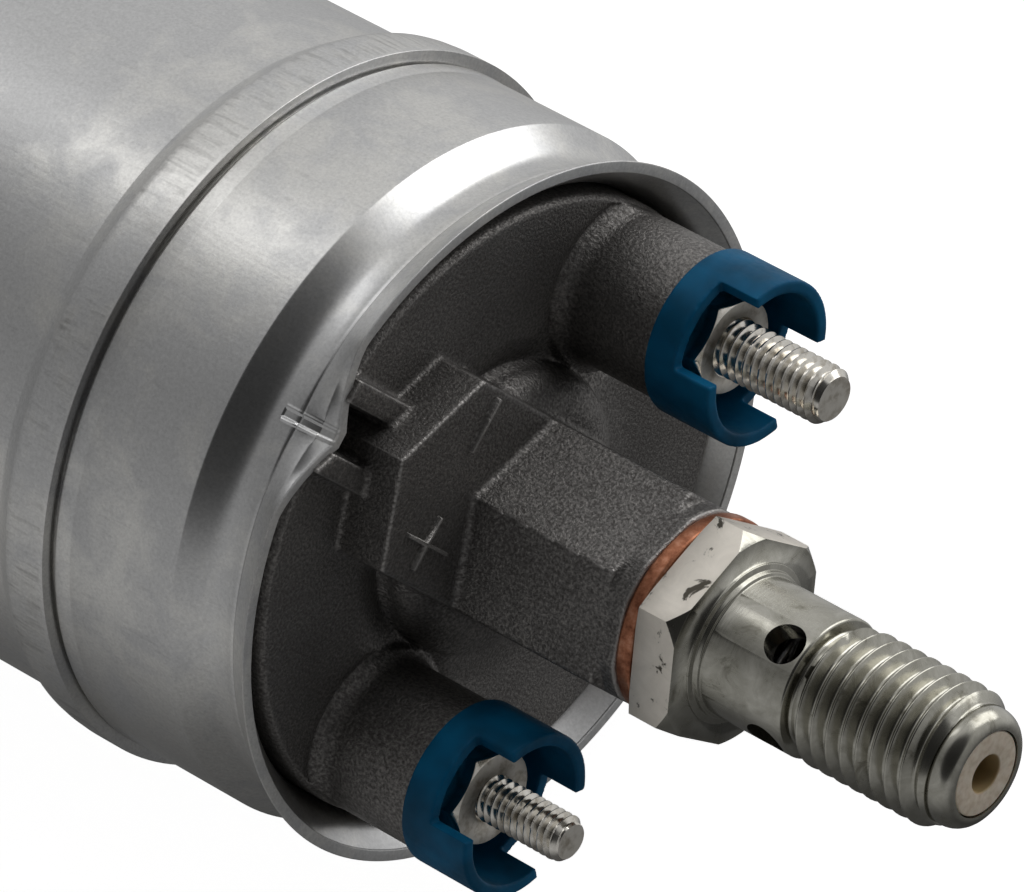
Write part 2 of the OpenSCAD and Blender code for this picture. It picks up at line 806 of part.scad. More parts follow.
module collar(side, stud_radius) {
    inner = collar_r - collar_wall;
    far = 2 * collar_r;
    half = collar_gap / 2;
    color("steelblue")
        on_axis()
            at_terminal(side)
                difference() {
                    rod(collar_r, boss_z, boss_z + collar_h);
                    rod(inner, boss_z + collar_floor, boss_z + collar_h + over);
                    rod(stud_radius + slip_gap, boss_z - over, boss_z + collar_h);
                    for (turn = [0, 180])
                        rotate([0, 0, turn])
                            translate([0, 0, boss_z + collar_ring_h])
                                linear_extrude(collar_h)
                                    polygon([[0, 0], far * [cos(half), -sin(half)],
                                        far * [1, 0], far * [cos(half), sin(half)]]);
                }
}

module negative_collar() {
    collar(-1, neg_stud_r);
}

module positive_collar() {
    collar(1, pos_stud_r);
}

terminal_seal_h = 1.5;

module insulating_bush(side, stud_radius) {
    color("burlywood")
        on_axis()
            at_terminal(side)
                difference() {
                    union() {
                        rod(bush_r, floor_z - tiny, boss_z - terminal_seal_h);
                        rod(bush_r + 0.8, floor_z - bush_flange, floor_z);
                    }
                    rod(stud_radius + press_gap, floor_z - bush_flange - over, boss_z + over);
                }
}

module negative_bush() {
    insulating_bush(-1, neg_stud_r);
}

module positive_bush() {
    insulating_bush(1, pos_stud_r);
}

module terminal_seal(side, stud_radius) {
    color("black")
        on_axis()
            at_terminal(side)
                tube(bush_r, stud_radius + press_gap, boss_z - terminal_seal_h, boss_z);
}

module negative_seal() {
    terminal_seal(-1, neg_stud_r);
}

module positive_seal() {
    terminal_seal(1, pos_stud_r);
}

module brush_holder() {
    window_r = 3.4;
    window_circle_r = 18.6;
    color("#2b2b2b")
        on_axis()
            difference() {
                union() {
                    rod(inner_r, holder_z, skirt_z);
                    rod(hub_front_r, skirt_z - tiny, skirt_z + hub_front_len);
                    for (turn = [0, 180])
                        rotate([0, 0, turn])
                            bar(guide_in_r, guide_out_r + guide_wall, brush_w + 2 * (run_gap + guide_wall),
                                brush_z - guide_wall, holder_z + tiny);
                }
                for (turn = [0, 180])
                    rotate([0, 0, turn])
                        bar(guide_in_r - over, guide_out_r, brush_w + 2 * run_gap,
                            brush_z - run_gap, brush_z + brush_h + run_gap);
                for (k = [0:3])
                    rotate([0, 0, 45 + 90 * k])
                        translate([window_circle_r, 0, 0])
                            rod(window_r, holder_z - over, skirt_z + over);
                rod(bush_out_r + press_gap, skirt_z, skirt_z + hub_front_len + over);
                rod(shaft_r + 0.3 * thrust_w + slip_gap, holder_z - over, skirt_z + over);
            }
}

module front_bush() {
    color("peru")
        on_axis()
            tube(bush_out_r, shaft_r + run_gap, skirt_z, skirt_z + front_bush_len);
}

module brush(turn) {
    color("#3a3432")
        on_axis()
            rotate([0, 0, turn])
                difference() {
                    bar(comm_r - over, brush_out_r, brush_w, brush_z, brush_z + brush_h);
                    rod(brush_in_r, brush_z - over, brush_z + brush_h + over);
                }
}

module upper_brush() {
    brush(0);
}

module lower_brush() {
    brush(180);
}

module brush_spring(turn) {
    wire = 0.25;
    turns = (spring_room - 2 * wire) / (4 * wire);
    color("goldenrod")
        on_axis()
            rotate([0, 0, turn])
                translate([brush_out_r, 0, brush_z + brush_h / 2])
                    rotate([0, 90, 0])
                        coil_spring(brush_w / 2 - wire - free_gap, turns, spring_room, wire, 0);
}

module upper_brush_spring() {
    brush_spring(0);
}

module lower_brush_spring() {
    brush_spring(180);
}

choke_offset = 15;
choke_z = skirt_z;
strip_t = 0.8;

// The strips run from under each stud's head to the top of its choke
module contact_strips() {
    strip_z = floor_z - bush_flange - stud_head_h - strip_t;
    strip_w = 4;
    color("chocolate")
        on_axis()
            for (side = [-1, 1]) {
                run = sqrt(choke_offset * choke_offset + terminal_offset * terminal_offset);
                lean = atan2(-side * terminal_offset, side * choke_offset);
                translate([0, side * terminal_offset, 0]) {
                    rod(strip_w / 2 + 1, strip_z, strip_z + strip_t);
                    rotate([0, 0, lean])
                        bar(0, run, strip_w, strip_z, strip_z + strip_t);
                }
                translate([side * choke_offset, 0, 0])
                    rod(choke_r, choke_z + choke_len, strip_z + strip_t);
            }
}

module choke_rods() {
    color("#404040")
        on_axis()
            for (side = [-1, 1])
                translate([side * choke_offset, 0, 0])
                    rod(choke_r, choke_z, choke_z + choke_len);
}

module choke_windings() {
    color("orangered")
        on_axis()
            for (side = [-1, 1])
                translate([side * choke_offset, 0, 0])
                    tube(choke_r + 0.9, choke_r + press_gap, choke_z + 1, choke_z + choke_len - 1);
}

module pole_tube() {
    color("gray")
        on_axis()
            tube(inner_r, pole_bore_r, pole_z, holder_z);
}

module magnets() {
    color("#4a4a4a")
        on_axis()
            for (turn = [0, 180])
                rotate([0, 0, turn])
                    ring_sector(magnet_r, magnet_bore_r, -magnet_angle / 2, magnet_angle / 2,
                        core_z - magnet_over, core_front + magnet_over);
}

module magnet_clips() {
    clip_t = 0.8;
    half = 90 - magnet_angle / 2 - 2;
    color("silver")
        on_axis()
            for (turn = [90, 270])
                rotate([0, 0, turn])
                    ring_sector(magnet_r, magnet_r - clip_t, -half, half, core_z - magnet_over,
                        core_front + magnet_over);
}

module armature_shaft() {
    color("lightgray")
        on_axis()
            rod(shaft_r, ring_z + 2 * free_gap, shaft_front_z);
}

// The slot through which the winding is laid, cut from the core and its end plates
module core_slots(z0, z1) {
    mouth_w = 1.2;
    for (k = [0:slots - 1])
        rotate([0, 0, 360 * k / slots]) {
            bar(slot_root_r, slot_depth_r, slot_w, z0, z1);
            bar(slot_depth_r - over, core_r + over, mouth_w, z0, z1);
        }
}

module armature_core() {
    color("slategray")
        on_axis()
            difference() {
                rod(core_r, core_z, core_front);
                rod(shaft_r + press_gap, core_z - over, core_front + over);
                core_slots(core_z - over, core_front + over);
            }
}

module armature_insulators() {
    color("darkred")
        on_axis()
            for (z = [core_z - insulator_t, core_front])
                difference() {
                    rod(core_r - 0.4, z, z + insulator_t);
                    rod(shaft_r + press_gap, z - over, z + insulator_t + over);
                    core_slots(z - over, z + insulator_t + over);
                }
}

// One end of the winding, rounded outside
module winding_end(z0, z1) {
    corner = 2;
    inner = slot_root_r - 2.4;
    rotate_extrude()
        union() {
            translate([inner, z0])
                square([winding_r - inner - corner, z1 - z0]);
            translate([winding_r - corner - tiny, z0 + corner])
                square([corner + tiny, z1 - z0 - 2 * corner]);
            for (z = [z0 + corner, z1 - corner])
                translate([winding_r - corner, z])
                    circle(r = corner);
        }
}

module armature_winding() {
    side_gap_w = 0.4;
    color("orangered")
        on_axis() {
            winding_end(core_front + insulator_t, core_front + insulator_t + winding_len);
            winding_end(core_z - insulator_t - winding_len, core_z - insulator_t);
            for (k = [0:slots - 1])
                rotate([0, 0, 360 * k / slots])
                    bar(slot_root_r + 0.2, winding_r - 0.2, slot_w - side_gap_w,
                        core_z - insulator_t - over, core_front + insulator_t + over);
        }
}

module commutator_bars() {
    color("peru")
        on_axis()
            difference() {
                tube(comm_r, comm_r - bar_t, comm_z, comm_front);
                for (k = [0:slots - 1])
                    rotate([0, 0, 360 * (k + 0.5) / slots])
                        bar(comm_r - bar_t - over, comm_r + over, bar_gap, comm_z - over, comm_front + over);
            }
}

module commutator_hub() {
    color("saddlebrown")
        on_axis()
            tube(comm_r - bar_t - press_gap, shaft_r + press_gap, comm_z, comm_front);
}

// A washer at each end of the armature takes its end play
module thrust_washers() {
    rear_z = pole_z + 2 * side_gap;
    front_z = comm_front + press_gap;
    color("ivory")
        on_axis() {
            tube(shaft_r + thrust_w, shaft_r + press_gap, rear_z, rear_z + thrust_t);
            tube(shaft_r + 0.3 * thrust_w, shaft_r + press_gap, front_z, front_z + thrust_t);
        }
}

module rear_bush() {
    color("peru")
        on_axis()
            tube(bush_out_r, shaft_r + run_gap, plate_z, pole_z);
}

module pump_plate() {
    color("darkgray")
        on_axis()
            difference() {
                rod(inner_r, plate_z, pole_z);
                rod(bush_out_r + press_gap, plate_z - over, pole_z + over);
                translate([-ecc, 0, 0])
                    ring_sector(port_out_r, port_in_r, 200, 340, plate_z - over, pole_z + over);
                at_relief()
                    rod(relief_hole_r, plate_z - over, pole_z + over);
                at_screws()
                    rod(screw_r + slip_gap, plate_z - over, pole_z + over);
            }
}

module pump_ring() {
    color("dimgray")
        on_axis()
            difference() {
                rod(inner_r, ring_z, plate_z);
                translate([-ecc, 0, 0])
                    rod(ring_bore_r, ring_z - over, plate_z + over);
                at_relief()
                    rod(relief_hole_r, ring_z - over, plate_z + over);
                at_screws()
                    rod(screw_r + slip_gap, ring_z - over, plate_z + over);
            }
}

teeth = 6;

// Outline of the inner rotor: the path of the outer rotor's round teeth, moved in by their radius
mesh_gap = 0.12;
outline_steps = 288;
pins = teeth + 1;
function rotor_point(a) =
    let (lead = atan2(sin((1 - pins) * a), pin_circle_r / (ecc * pins) - cos((1 - pins) * a)),
        reach = pin_r + mesh_gap)
        [pin_circle_r * cos(a) - reach * cos(a + lead) - ecc * cos(pins * a),
            -pin_circle_r * sin(a) + reach * sin(a + lead) + ecc * sin(pins * a)];

tang_w = 2.4;
tang_h = 1.3;

module inner_rotor() {
    color("darkslategray")
        on_axis()
            difference() {
                translate([0, 0, ring_z + side_gap])
                    linear_extrude(rotor_t)
                        polygon([for (i = [0:outline_steps - 1]) rotor_point(360 * i / outline_steps)]);
                rod(coupling_r + press_gap, ring_z - over, plate_z + over);
                bar(-coupling_r - tang_h - press_gap, coupling_r + tang_h + press_gap,
                    tang_w + 2 * press_gap, ring_z - over, plate_z + over);
            }
}

module outer_rotor() {
    root_r = pin_circle_r - pin_r + 2 * ecc + mesh_gap;
    color("slategray")
        on_axis()
            translate([-ecc, 0, ring_z + side_gap])
                linear_extrude(rotor_t)
                    difference() {
                        circle(r = outer_rotor_r);
                        difference() {
                            circle(r = root_r);
                            for (k = [0:pins - 1])
                                rotate(360 * k / pins)
                                    translate([pin_circle_r, 0])
                                        circle(r = pin_r);
                        }
                    }
}

module drive_coupling() {
    color("ivory")
        on_axis()
            difference() {
                union() {
                    rod(coupling_r, ring_z + 2 * side_gap, plate_z - 2 * side_gap);
                    bar(-coupling_r - tang_h, coupling_r + tang_h, tang_w, ring_z + 2 * side_gap,
                        plate_z - 2 * side_gap);
                }
                rod(shaft_r + press_gap, ring_z - over, plate_z + over);
            }
}

module pump_screws() {
    color("lightgray")
        on_axis()
            at_screws()
                difference() {
                    union() {
                        rod(screw_r, inlet_front_z - screw_bite, pole_z + tiny);
                        rod(screw_head_r, pole_z, pole_z + screw_head_h);
                    }
                    hexagon(2.5, pole_z + screw_head_h - 1.4, pole_z + screw_head_h + over);
                }
}

module relief_seat() {
    color("goldenrod")
        on_axis()
            at_relief()
                tube(relief_bore_r + 0.6 - press_gap, relief_hole_r, inlet_front_z - relief_seat_len,
                    inlet_front_z);
}

module relief_ball() {
    color("silver")
        on_axis()
            at_relief()
                translate([0, 0, ball_z])
                    sphere(r = ball_r);
}

module relief_spring() {
    wire = 0.25;
    turns = 3.5;
    // The wire's inner edge sits on the ball at this depth behind its centre
    rest_r = ball_r - 0.8;
    rest = sqrt(ball_r * ball_r - rest_r * rest_r);
    color("silver")
        on_axis()
            at_relief()
                coil_spring(rest_r + wire, turns, ball_z - rest - relief_bottom_z, wire, relief_bottom_z);
}

module inlet_cover() {
    inlet_shoulder_z = band_rear + shoulder_back;
    bolt_clear = 0.02;
    color("darkgray")
        on_axis()
            difference() {
                union() {
                    rotate_extrude()
                        polygon([[0, inlet_face_z], [face_r - edge_round, inlet_face_z],
                            [face_r, inlet_face_z + edge_round], [face_r, inlet_shoulder_z - shoulder_len],
                            [inner_r, inlet_shoulder_z], [inner_r, inlet_front_z], [0, inlet_front_z]]);
                    rod(inlet_boss_r, inlet_end_z, inlet_face_z + over);
                }
                rod(inlet_bore_r, inlet_end_z - over, chamber_z);
                rod(chamber_r, chamber_z - tiny, gallery_z);
                rod(gallery_r, gallery_z - gallery_len, gallery_z);
                translate([-ecc, 0, 0])
                    ring_sector(port_out_r, port_in_r, 20, 160, gallery_z - 1, inlet_front_z + over);
                at_relief() {
                    rod(relief_bore_r, relief_bottom_z, inlet_front_z + over);
                    rod(relief_bore_r + 0.6, inlet_front_z - relief_seat_len, inlet_front_z + over);
                }
                rotate([0, 0, relief_angle])
                    translate([0, 0, gallery_z - gallery_len / 2])
                        rotate([0, 90, 0])
                            cylinder(r = 1.2, h = relief_circle_r);
                at_screws()
                    rod(screw_r + bolt_clear, inlet_front_z - screw_bite - over, inlet_front_z + over);
                rotate_extrude()
                    translate([inner_r - seal_d + slip_gap,
                        inlet_front_z - inlet_seal_back - seal_d / 2 - slip_gap])
                        square([seal_d + over, seal_d + 2 * slip_gap]);
            }
}

module inlet_seal() {
    color("black")
        on_axis()
            translate([0, 0, inlet_front_z - inlet_seal_back])
                rotate_extrude()
                    translate([bore_r - seal_d / 2 - press_gap, 0])
                        circle(r = (seal_d - slip_gap) / 2);
}

strainer_z = chamber_z + free_gap;
strainer_end_z = gallery_z - 1;

module strainer_frame() {
    inner = strainer_r - strainer_wall;
    color("white")
        on_axis() {
            tube(strainer_r, inner, strainer_z, strainer_z + strainer_rim);
            rod(inner, strainer_end_z - strainer_rim / 2, strainer_end_z);
            for (k = [0:2])
                rotate([0, 0, 120 * k])
                    bar(inner - strainer_rib, inner + strainer_rib / 2, strainer_rib,
                        strainer_z, strainer_end_z);
        }
}

module strainer_mesh() {
    inner = strainer_r - strainer_wall;
    color("khaki")
        on_axis()
            difference() {
                tube(inner - press_gap, inner - strainer_mesh_t, strainer_z + strainer_rim,
                    strainer_end_z - strainer_rim / 2);
                for (k = [0:2])
                    rotate([0, 0, 120 * k])
                        bar(inner - strainer_rib - press_gap, inner + over, strainer_rib + 2 * press_gap,
                            strainer_z, strainer_end_z);
            }
}

casing();
outlet_cover();
outlet_cover_seal();
outlet_fitting();
sealing_washer();
fitting_insert();
valve_seat();
check_valve_plunger();
check_valve_face();
check_valve_spring();
negative_stud();
positive_stud();
negative_nut();
positive_nut();
negative_collar();
positive_collar();
negative_bush();
positive_bush();
negative_seal();
positive_seal();
brush_holder();
front_bush();
upper_brush();
lower_brush();
upper_brush_spring();
lower_brush_spring();
contact_strips();
choke_rods();
choke_windings();
pole_tube();
magnets();
magnet_clips();
armature_shaft();
armature_core();
armature_winding();
armature_insulators();
commutator_bars();
commutator_hub();
thrust_washers();
rear_bush();
pump_plate();
pump_ring();
inner_rotor();
outer_rotor();
drive_coupling();
pump_screws();
relief_seat();
relief_ball();
relief_spring();
inlet_cover();
inlet_seal();
strainer_frame();
strainer_mesh();
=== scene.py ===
# Electric fuel pump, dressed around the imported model.
# Lengths in the dictionaries are millimetres along the pump axis (x) or from it (r), unless a name says otherwise.
import bpy
import bmesh
import json
from math import atan2, ceil, cos, degrees, hypot, pi, radians, sin, sqrt
from mathutils import Matrix, Vector


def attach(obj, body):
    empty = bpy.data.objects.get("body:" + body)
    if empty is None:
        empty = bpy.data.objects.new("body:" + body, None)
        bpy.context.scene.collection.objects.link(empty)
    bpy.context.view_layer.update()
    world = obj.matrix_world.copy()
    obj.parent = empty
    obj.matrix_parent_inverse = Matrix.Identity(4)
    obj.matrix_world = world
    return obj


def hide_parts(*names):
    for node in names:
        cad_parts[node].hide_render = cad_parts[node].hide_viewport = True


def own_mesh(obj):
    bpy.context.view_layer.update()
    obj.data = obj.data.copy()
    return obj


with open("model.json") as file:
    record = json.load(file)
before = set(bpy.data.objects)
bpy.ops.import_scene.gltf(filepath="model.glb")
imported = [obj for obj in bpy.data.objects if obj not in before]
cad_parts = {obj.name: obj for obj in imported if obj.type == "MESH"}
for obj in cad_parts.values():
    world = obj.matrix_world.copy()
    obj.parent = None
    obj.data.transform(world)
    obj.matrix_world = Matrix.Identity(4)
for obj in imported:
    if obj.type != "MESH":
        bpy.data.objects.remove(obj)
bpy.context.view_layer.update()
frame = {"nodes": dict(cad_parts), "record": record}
mm = 0.001
sameSpot = 1e-4  # vertices nearer than this many mm are one
onPlane = 1e-5   # and nearer than this to a cut lie on it
print("frame loaded:", len(frame["nodes"]), "nodes")


def arcSteps(count):
    return [i / count for i in range(count + 1)]


def mended(bm):
    # doubles merged, then every face turned outwards
    bmesh.ops.remove_doubles(bm, verts=bm.verts, dist=sameSpot)
    bmesh.ops.recalc_face_normals(bm, faces=bm.faces)
    if bm.calc_volume(signed=True) < 0:
        bmesh.ops.reverse_faces(bm, faces=bm.faces)
    return bm


def lathe(outline, steps=128, closed=False):
    # outline is a chain of (x, r) points, spun a quarter turn about the pump axis and mirrored twice; it ends on
    # the axis or closes on itself
    bm = bmesh.new()
    points = [bm.verts.new((x, 0, r)) for x, r in outline]
    edges = [bm.edges.new(pair) for pair in zip(points, points[1:])]
    if closed:
        edges.append(bm.edges.new((points[-1], points[0])))
    bmesh.ops.spin(bm, geom=points + edges, cent=(0, 0, 0), axis=(1, 0, 0), dvec=(0, 0, 0), angle=pi / 2,
                   steps=steps // 4)
    for side in ("Y", "Z"):
        bmesh.ops.mirror(bm, geom=list(bm.verts) + list(bm.edges) + list(bm.faces), matrix=Matrix.Identity(4),
                         merge_dist=sameSpot, axis=side)
    return mended(bm)


def roundEdges(bm, width, segments=3, sharperThan=25):
    edges = [e for e in bm.edges if len(e.link_faces) == 2 and degrees(e.calc_face_angle(0)) > sharperThan]
    bmesh.ops.bevel(bm, geom=edges, offset=width, offset_type="OFFSET", segments=segments, profile=0.5,
                    affect="EDGES", material=-1, clamp_overlap=True)
    return bm


def toObject(bm, name):
    mesh = bpy.data.meshes.new(name)
    bm.to_mesh(mesh)
    bm.free()
    piece = bpy.data.objects.new(name, mesh)
    bpy.context.scene.collection.objects.link(piece)
    return piece


def applyModifiers(piece):
    ready = piece.evaluated_get(bpy.context.evaluated_depsgraph_get())
    mesh = bpy.data.meshes.new_from_object(ready)
    old = piece.data
    piece.modifiers.clear()
    piece.data = mesh
    bpy.data.meshes.remove(old)
    return piece


def combine(base, others, operation, solver="EXACT"):
    for other in others:
        step = base.modifiers.new(operation.lower(), "BOOLEAN")
        step.solver = solver
        step.operation = operation
        step.object = other
    applyModifiers(base)
    for other in others:
        bpy.data.objects.remove(other)
    return base


def finish(piece, body, nodes, slot, crease=35):
    piece.data.transform(Matrix.Scale(mm, 4))
    piece.data.materials.clear()
    piece.data.materials.append(finishes[slot])
    piece.data.shade_smooth()
    piece.data.set_sharp_from_angle(angle=radians(crease))
    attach(piece, body)
    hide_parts(*nodes)
    return piece


def nodeCopy(node, name):
    # a copy of a CAD node's mesh in millimetres, with its doubles merged
    bm = bmesh.new()
    bm.from_mesh(frame["nodes"][node].data)
    bmesh.ops.remove_doubles(bm, verts=bm.verts, dist=0.001 * mm)
    bmesh.ops.scale(bm, vec=(1 / mm,) * 3, verts=bm.verts)
    return toObject(bm, name)


def cutAt(piece, x, way):
    # keeps what lies on one side of x and closes the cut
    bm = bmesh.new()
    bm.from_mesh(piece.data)
    bmesh.ops.bisect_plane(bm, geom=list(bm.verts) + list(bm.edges) + list(bm.faces), dist=onPlane,
                           plane_co=(x, 0, 0), plane_no=(way, 0, 0), clear_outer=True)
    rim = [e for e in bm.edges if e.is_boundary]
    bmesh.ops.triangle_fill(bm, edges=rim, use_beauty=True, use_dissolve=False)
    mended(bm).to_mesh(piece.data)
    bm.free()
    return piece


def soften(piece, voxel, smoothing, keep=1):
    # a cast or moulded piece: every edge and root of its form is rounded
    remesh = piece.modifiers.new("cast", "REMESH")
    remesh.mode = "VOXEL"
    remesh.voxel_size = voxel
    smooth = piece.modifiers.new("smooth", "SMOOTH")
    smooth.factor = 0.5
    smooth.iterations = smoothing
    if keep < 1:
        thin = piece.modifiers.new("thin", "DECIMATE")
        thin.ratio = keep
    return applyModifiers(piece)


def join(first, others):
    # the others' faces become part of the first object
    bm = bmesh.new()
    for piece in [first] + others:
        bm.from_mesh(piece.data)
    bm.to_mesh(first.data)
    bm.free()
    for other in others:
        bpy.data.objects.remove(other)
    return first


casing = {
    "bodyR": 30, "frontR": 30.35, "wall": 1.5, "steps": 336,
    # the bead, and its rising side as steps from its start and from its crest
    "bandHalf": 49, "beadRamp": 1.5, "beadW": 4.6, "beadR": 31.4, "beadRound": 0.06,
    "beadRise": [(-0.1, -1.4), (0.06, -1.37), (1.75, -0.28), (1.95, -0.18), (2.5, -0.08), (3.5, 0)],
    # the groove and the thin ridge in front of the bead, as steps from its end and from the front's radius
    "beadFoot": [(0.02, -0.47), (0.06, -0.5), (0.2, -0.5), (0.26, -0.46), (0.36, 0), (0.46, 0.06), (0.56, 0.06),
                 (0.78, 0)],
    # a faint turned ring, and the corner where the front rolls in to the neck
    "ringAt": 57.1, "ring": [(-0.08, 0), (0, -0.02), (0.08, 0)], "corner": [(-0.12, 0), (-0.03, -0.01)],
    "frontLen": 13, "frontRoll": 3.4, "rollLead": (0.05, -0.05), "neckR": 28.6,
    # the flared lip, with a crease round it
    "lipLen": 4.5, "lipR": 30.4, "lipDrop": 0.08, "lipWall": 1, "rimRound": 0.1,
    "creaseAt": 73.4, "creaseDeep": 0.1, "creaseW": 0.36,
    "rearRoll": 4, "rearLip": 4, "rearLipR": 29.6, "rimLead": (0.3, -0.02), "neckLead": (0.2, 0.005),
    # the short straights between two curves
    "short": 0.1, "bandLead": 0.4,
}
# the dent lies turn degrees from the key; share of its press follows the flare, and the rest starts at the bend
stake = {"turn": 1.8, "angle": 15, "flat": 1.5, "valley": 1.35, "press": 3.9, "bend": 0.82, "share": 0.75,
         "markAt": -0.97, "markW": 0.9, "markDeep": 0.12, "markFrom": 71.8, "markEnd": 0.2, "ridgeW": 0.2,
         "lowRidge": 0.14, "highRidge": 0.05, "skin": 0.45,
         # finer faces for the dent and for the mark: degrees to each side, margin along x, cuts to an edge
         "dentFaces": (17, 0.4, 1), "markFaces": (2.6, 0.3, 3)}


def curve(first, second, bend, count=14):
    (x0, r0), (x1, r1) = first, second
    return [(x0 + (x1 - x0) * u, r0 + (r1 - r0) * bend(u)) for u in arcSteps(count)]


def dip(u):
    return 1 - (1 - u) ** 2


def flare(u):
    return u * u


def swell(u):
    return (1 - cos(pi * u)) / 2


def rolled(u):
    # steep behind the corner and level at the neck
    return 1.45 * u + 0.1 * u * u - 0.55 * u ** 3


def quarter(x, r, size, start, turn):
    # a rounded corner about (x, r): start and turn in degrees, 0 along +x and 90 outwards
    return [(x + size * cos(radians(start + turn * u)), r + size * sin(radians(start + turn * u)))
            for u in arcSteps(5)]


def stepsFrom(x, r, steps):
    return [(x + dx, r + dr) for dx, dr in steps]


def casingOutline():
    c = casing
    front = c["bandHalf"] + c["beadRamp"] + c["beadW"]
    rollX = front + c["frontLen"]
    neckX = rollX + c["frontRoll"]
    lipX = neckX + c["lipLen"]
    rearNeck = -c["bandHalf"] - c["rearRoll"]
    rearX = rearNeck - c["rearLip"]
    rim, short = c["rimRound"], c["short"]
    inBody, inNeck, inBead = c["bodyR"] - c["wall"], c["neckR"] - c["wall"], c["beadR"] - c["wall"]
    inLip, inRear = c["lipR"] - c["lipWall"], c["rearLipR"] - c["lipWall"]
    rimStart, = stepsFrom(rearX, c["rearLipR"], [c["rimLead"]])
    neckStart, = stepsFrom(rearNeck, c["neckR"], [c["neckLead"]])
    rollStart, = stepsFrom(rollX, c["frontR"], [c["rollLead"]])
    outer = quarter(rearX + rim, c["rearLipR"] - rim, rim, 180, -90)
    outer += curve(rimStart, (rearNeck, c["neckR"]), dip)
    outer += curve(neckStart, (-c["bandHalf"], c["bodyR"]), flare)
    outer += [(-c["bandHalf"] + c["bandLead"], c["bodyR"]), (0, c["bodyR"])]
    outer += stepsFrom(c["bandHalf"], c["beadR"], c["beadRise"])
    outer += quarter(front - c["beadRound"], c["beadR"] - c["beadRound"], c["beadRound"], 90, -90)
    for x, steps in ((front, c["beadFoot"]), (c["ringAt"], c["ring"]), (rollX, c["corner"])):
        outer += stepsFrom(x, c["frontR"], steps)
    outer += curve(rollStart, (neckX, c["neckR"]), rolled, count=18)
    for x, r in curve((neckX + short, c["neckR"]), (lipX - rim, c["lipR"] - c["lipDrop"]), flare, count=26):
        gap = abs(x - c["creaseAt"]) / (c["creaseW"] / 2)
        outer.append((x, r - c["creaseDeep"] * max(0, 1 - gap)))
    outer += quarter(lipX - rim, c["lipR"] - rim, rim, 80, -80)
    inner = quarter(lipX - rim, inLip + rim, rim, 0, -80)
    inner += curve((lipX - rim - short, inLip), (neckX, inNeck), dip, count=22)
    inner += curve((neckX - short, inNeck), (rollX, inBody), flare)
    inner += [(front - c["wall"], inBody), (front - c["wall"] - short / 2, inBead)]
    inner += curve((c["bandHalf"] + c["beadRamp"] + c["bandLead"], inBead), (c["bandHalf"], inBody), swell, count=8)
    inner += [(0, inBody)]
    inner += curve((-c["bandHalf"], inBody), (rearNeck, inNeck), dip)
    inner += curve((rearNeck - short, inNeck), (rearX + rim, inRear), flare)
    inner += quarter(rearX + rim, inRear + rim, rim, -90, -90)
    return outer + inner, neckX, lipX


def smoothStep(low, high, value):
    u = min(1, max(0, (value - low) / (high - low)))
    return u * u * (3 - 2 * u)


def pressStake(bm, neckX, lipX):
    # the rim is pressed in to a blunt V at the key, and a chisel left its mark across the flare
    def inside(face, width, start):
        c = face.calc_center_median()
        return c.x > start and abs(degrees(atan2(c.y, c.z)) + stake["turn"]) < width and c.z > 0
    for (width, margin, cuts), start in ((stake["dentFaces"], neckX), (stake["markFaces"], stake["markFrom"])):
        edges = {e for f in bm.faces if inside(f, width, start - margin) for e in f.edges}
        bmesh.ops.subdivide_edges(bm, edges=list(edges), cuts=cuts, use_grid_fill=True)
    for v in bm.verts:
        if v.co.x <= neckX or v.co.z <= 0:
            continue
        angle = abs(degrees(atan2(v.co.y, v.co.z)) + stake["turn"])
        u = (v.co.x - neckX) / (lipX - neckX)
        around = 1 - min(1, max(0, angle - stake["flat"]) / (stake["angle"] - stake["flat"]))
        along = stake["share"] * u * u + (1 - stake["share"]) * max(0, (u - stake["bend"]) / (1 - stake["bend"]))
        drop = stake["press"] * around ** stake["valley"] * min(1, along)
        r = hypot(v.co.y, v.co.z)
        outside = r > casing["neckR"] + (casing["lipR"] - casing["neckR"]) * u * u - stake["skin"]
        if outside and v.co.x > stake["markFrom"]:
            off = v.co.y - stake["markAt"]
            half, ridgeW = stake["markW"] / 2, stake["ridgeW"]
            mark = 1 - smoothStep(half - ridgeW, half, abs(off))
            lift = stake["lowRidge"] if off < 0 else stake["highRidge"]
            ridge = lift * max(0, 1 - abs(abs(off) - half - ridgeW / 2) / ridgeW)
            ends = smoothStep(stake["markFrom"], stake["markFrom"] + stake["markEnd"], v.co.x)
            drop += (stake["markDeep"] * mark - ridge) * ends
        v.co.y *= (r - drop) / r
        v.co.z *= (r - drop) / r


def makeCasing():
    outline, neckX, lipX = casingOutline()
    bm = lathe(outline, steps=casing["steps"], closed=True)
    pressStake(bm, neckX, lipX)
    return toObject(bm, "casing_shell")


cover = {
    # the casting is rounded in front of splitX, and the machined skirt behind it laps under it
    "voxel": 0.23, "smoothing": 2, "keep": 0.5, "splitX": 70.5, "lap": 0.2,
    # the face, and how far below and above it a vertex is still its skin
    "faceX": 74.8, "faceR": 26.4, "faceBelow": 0.5, "faceSkin": 0.15,
    # the moat round the hub fades between two angles from the key, and the hub's foot rises in its place
    "hubR": 11.6, "moatR": 16.2, "moatDeep": 1.4, "moatFadeFrom": 60, "moatFadeTo": 112,
    "footRise": 0.8, "footOver": 1.8,
    "bossR": 6.6, "bossAt": 20.2, "bossMoat": 2, "bossMoatDeep": 0.6,
    "pocketHalf": 1.85, "pocketDeep": 3.4, "pocketFrom": 15,
    "plinthTop": 79.7, "plinthOver": 0.7, "plinthFrom": 11.4, "towerFrom": 93.75, "towerR": 8.95,
    # each lug: y from and to, where along z its end starts and how much further it reaches
    "lugs": [(1.8, 5, 25.6, 1.1), (-5, -1.6, 23.9, 0.7)], "lugOver": 0.05, "lugBlend": 1,
}
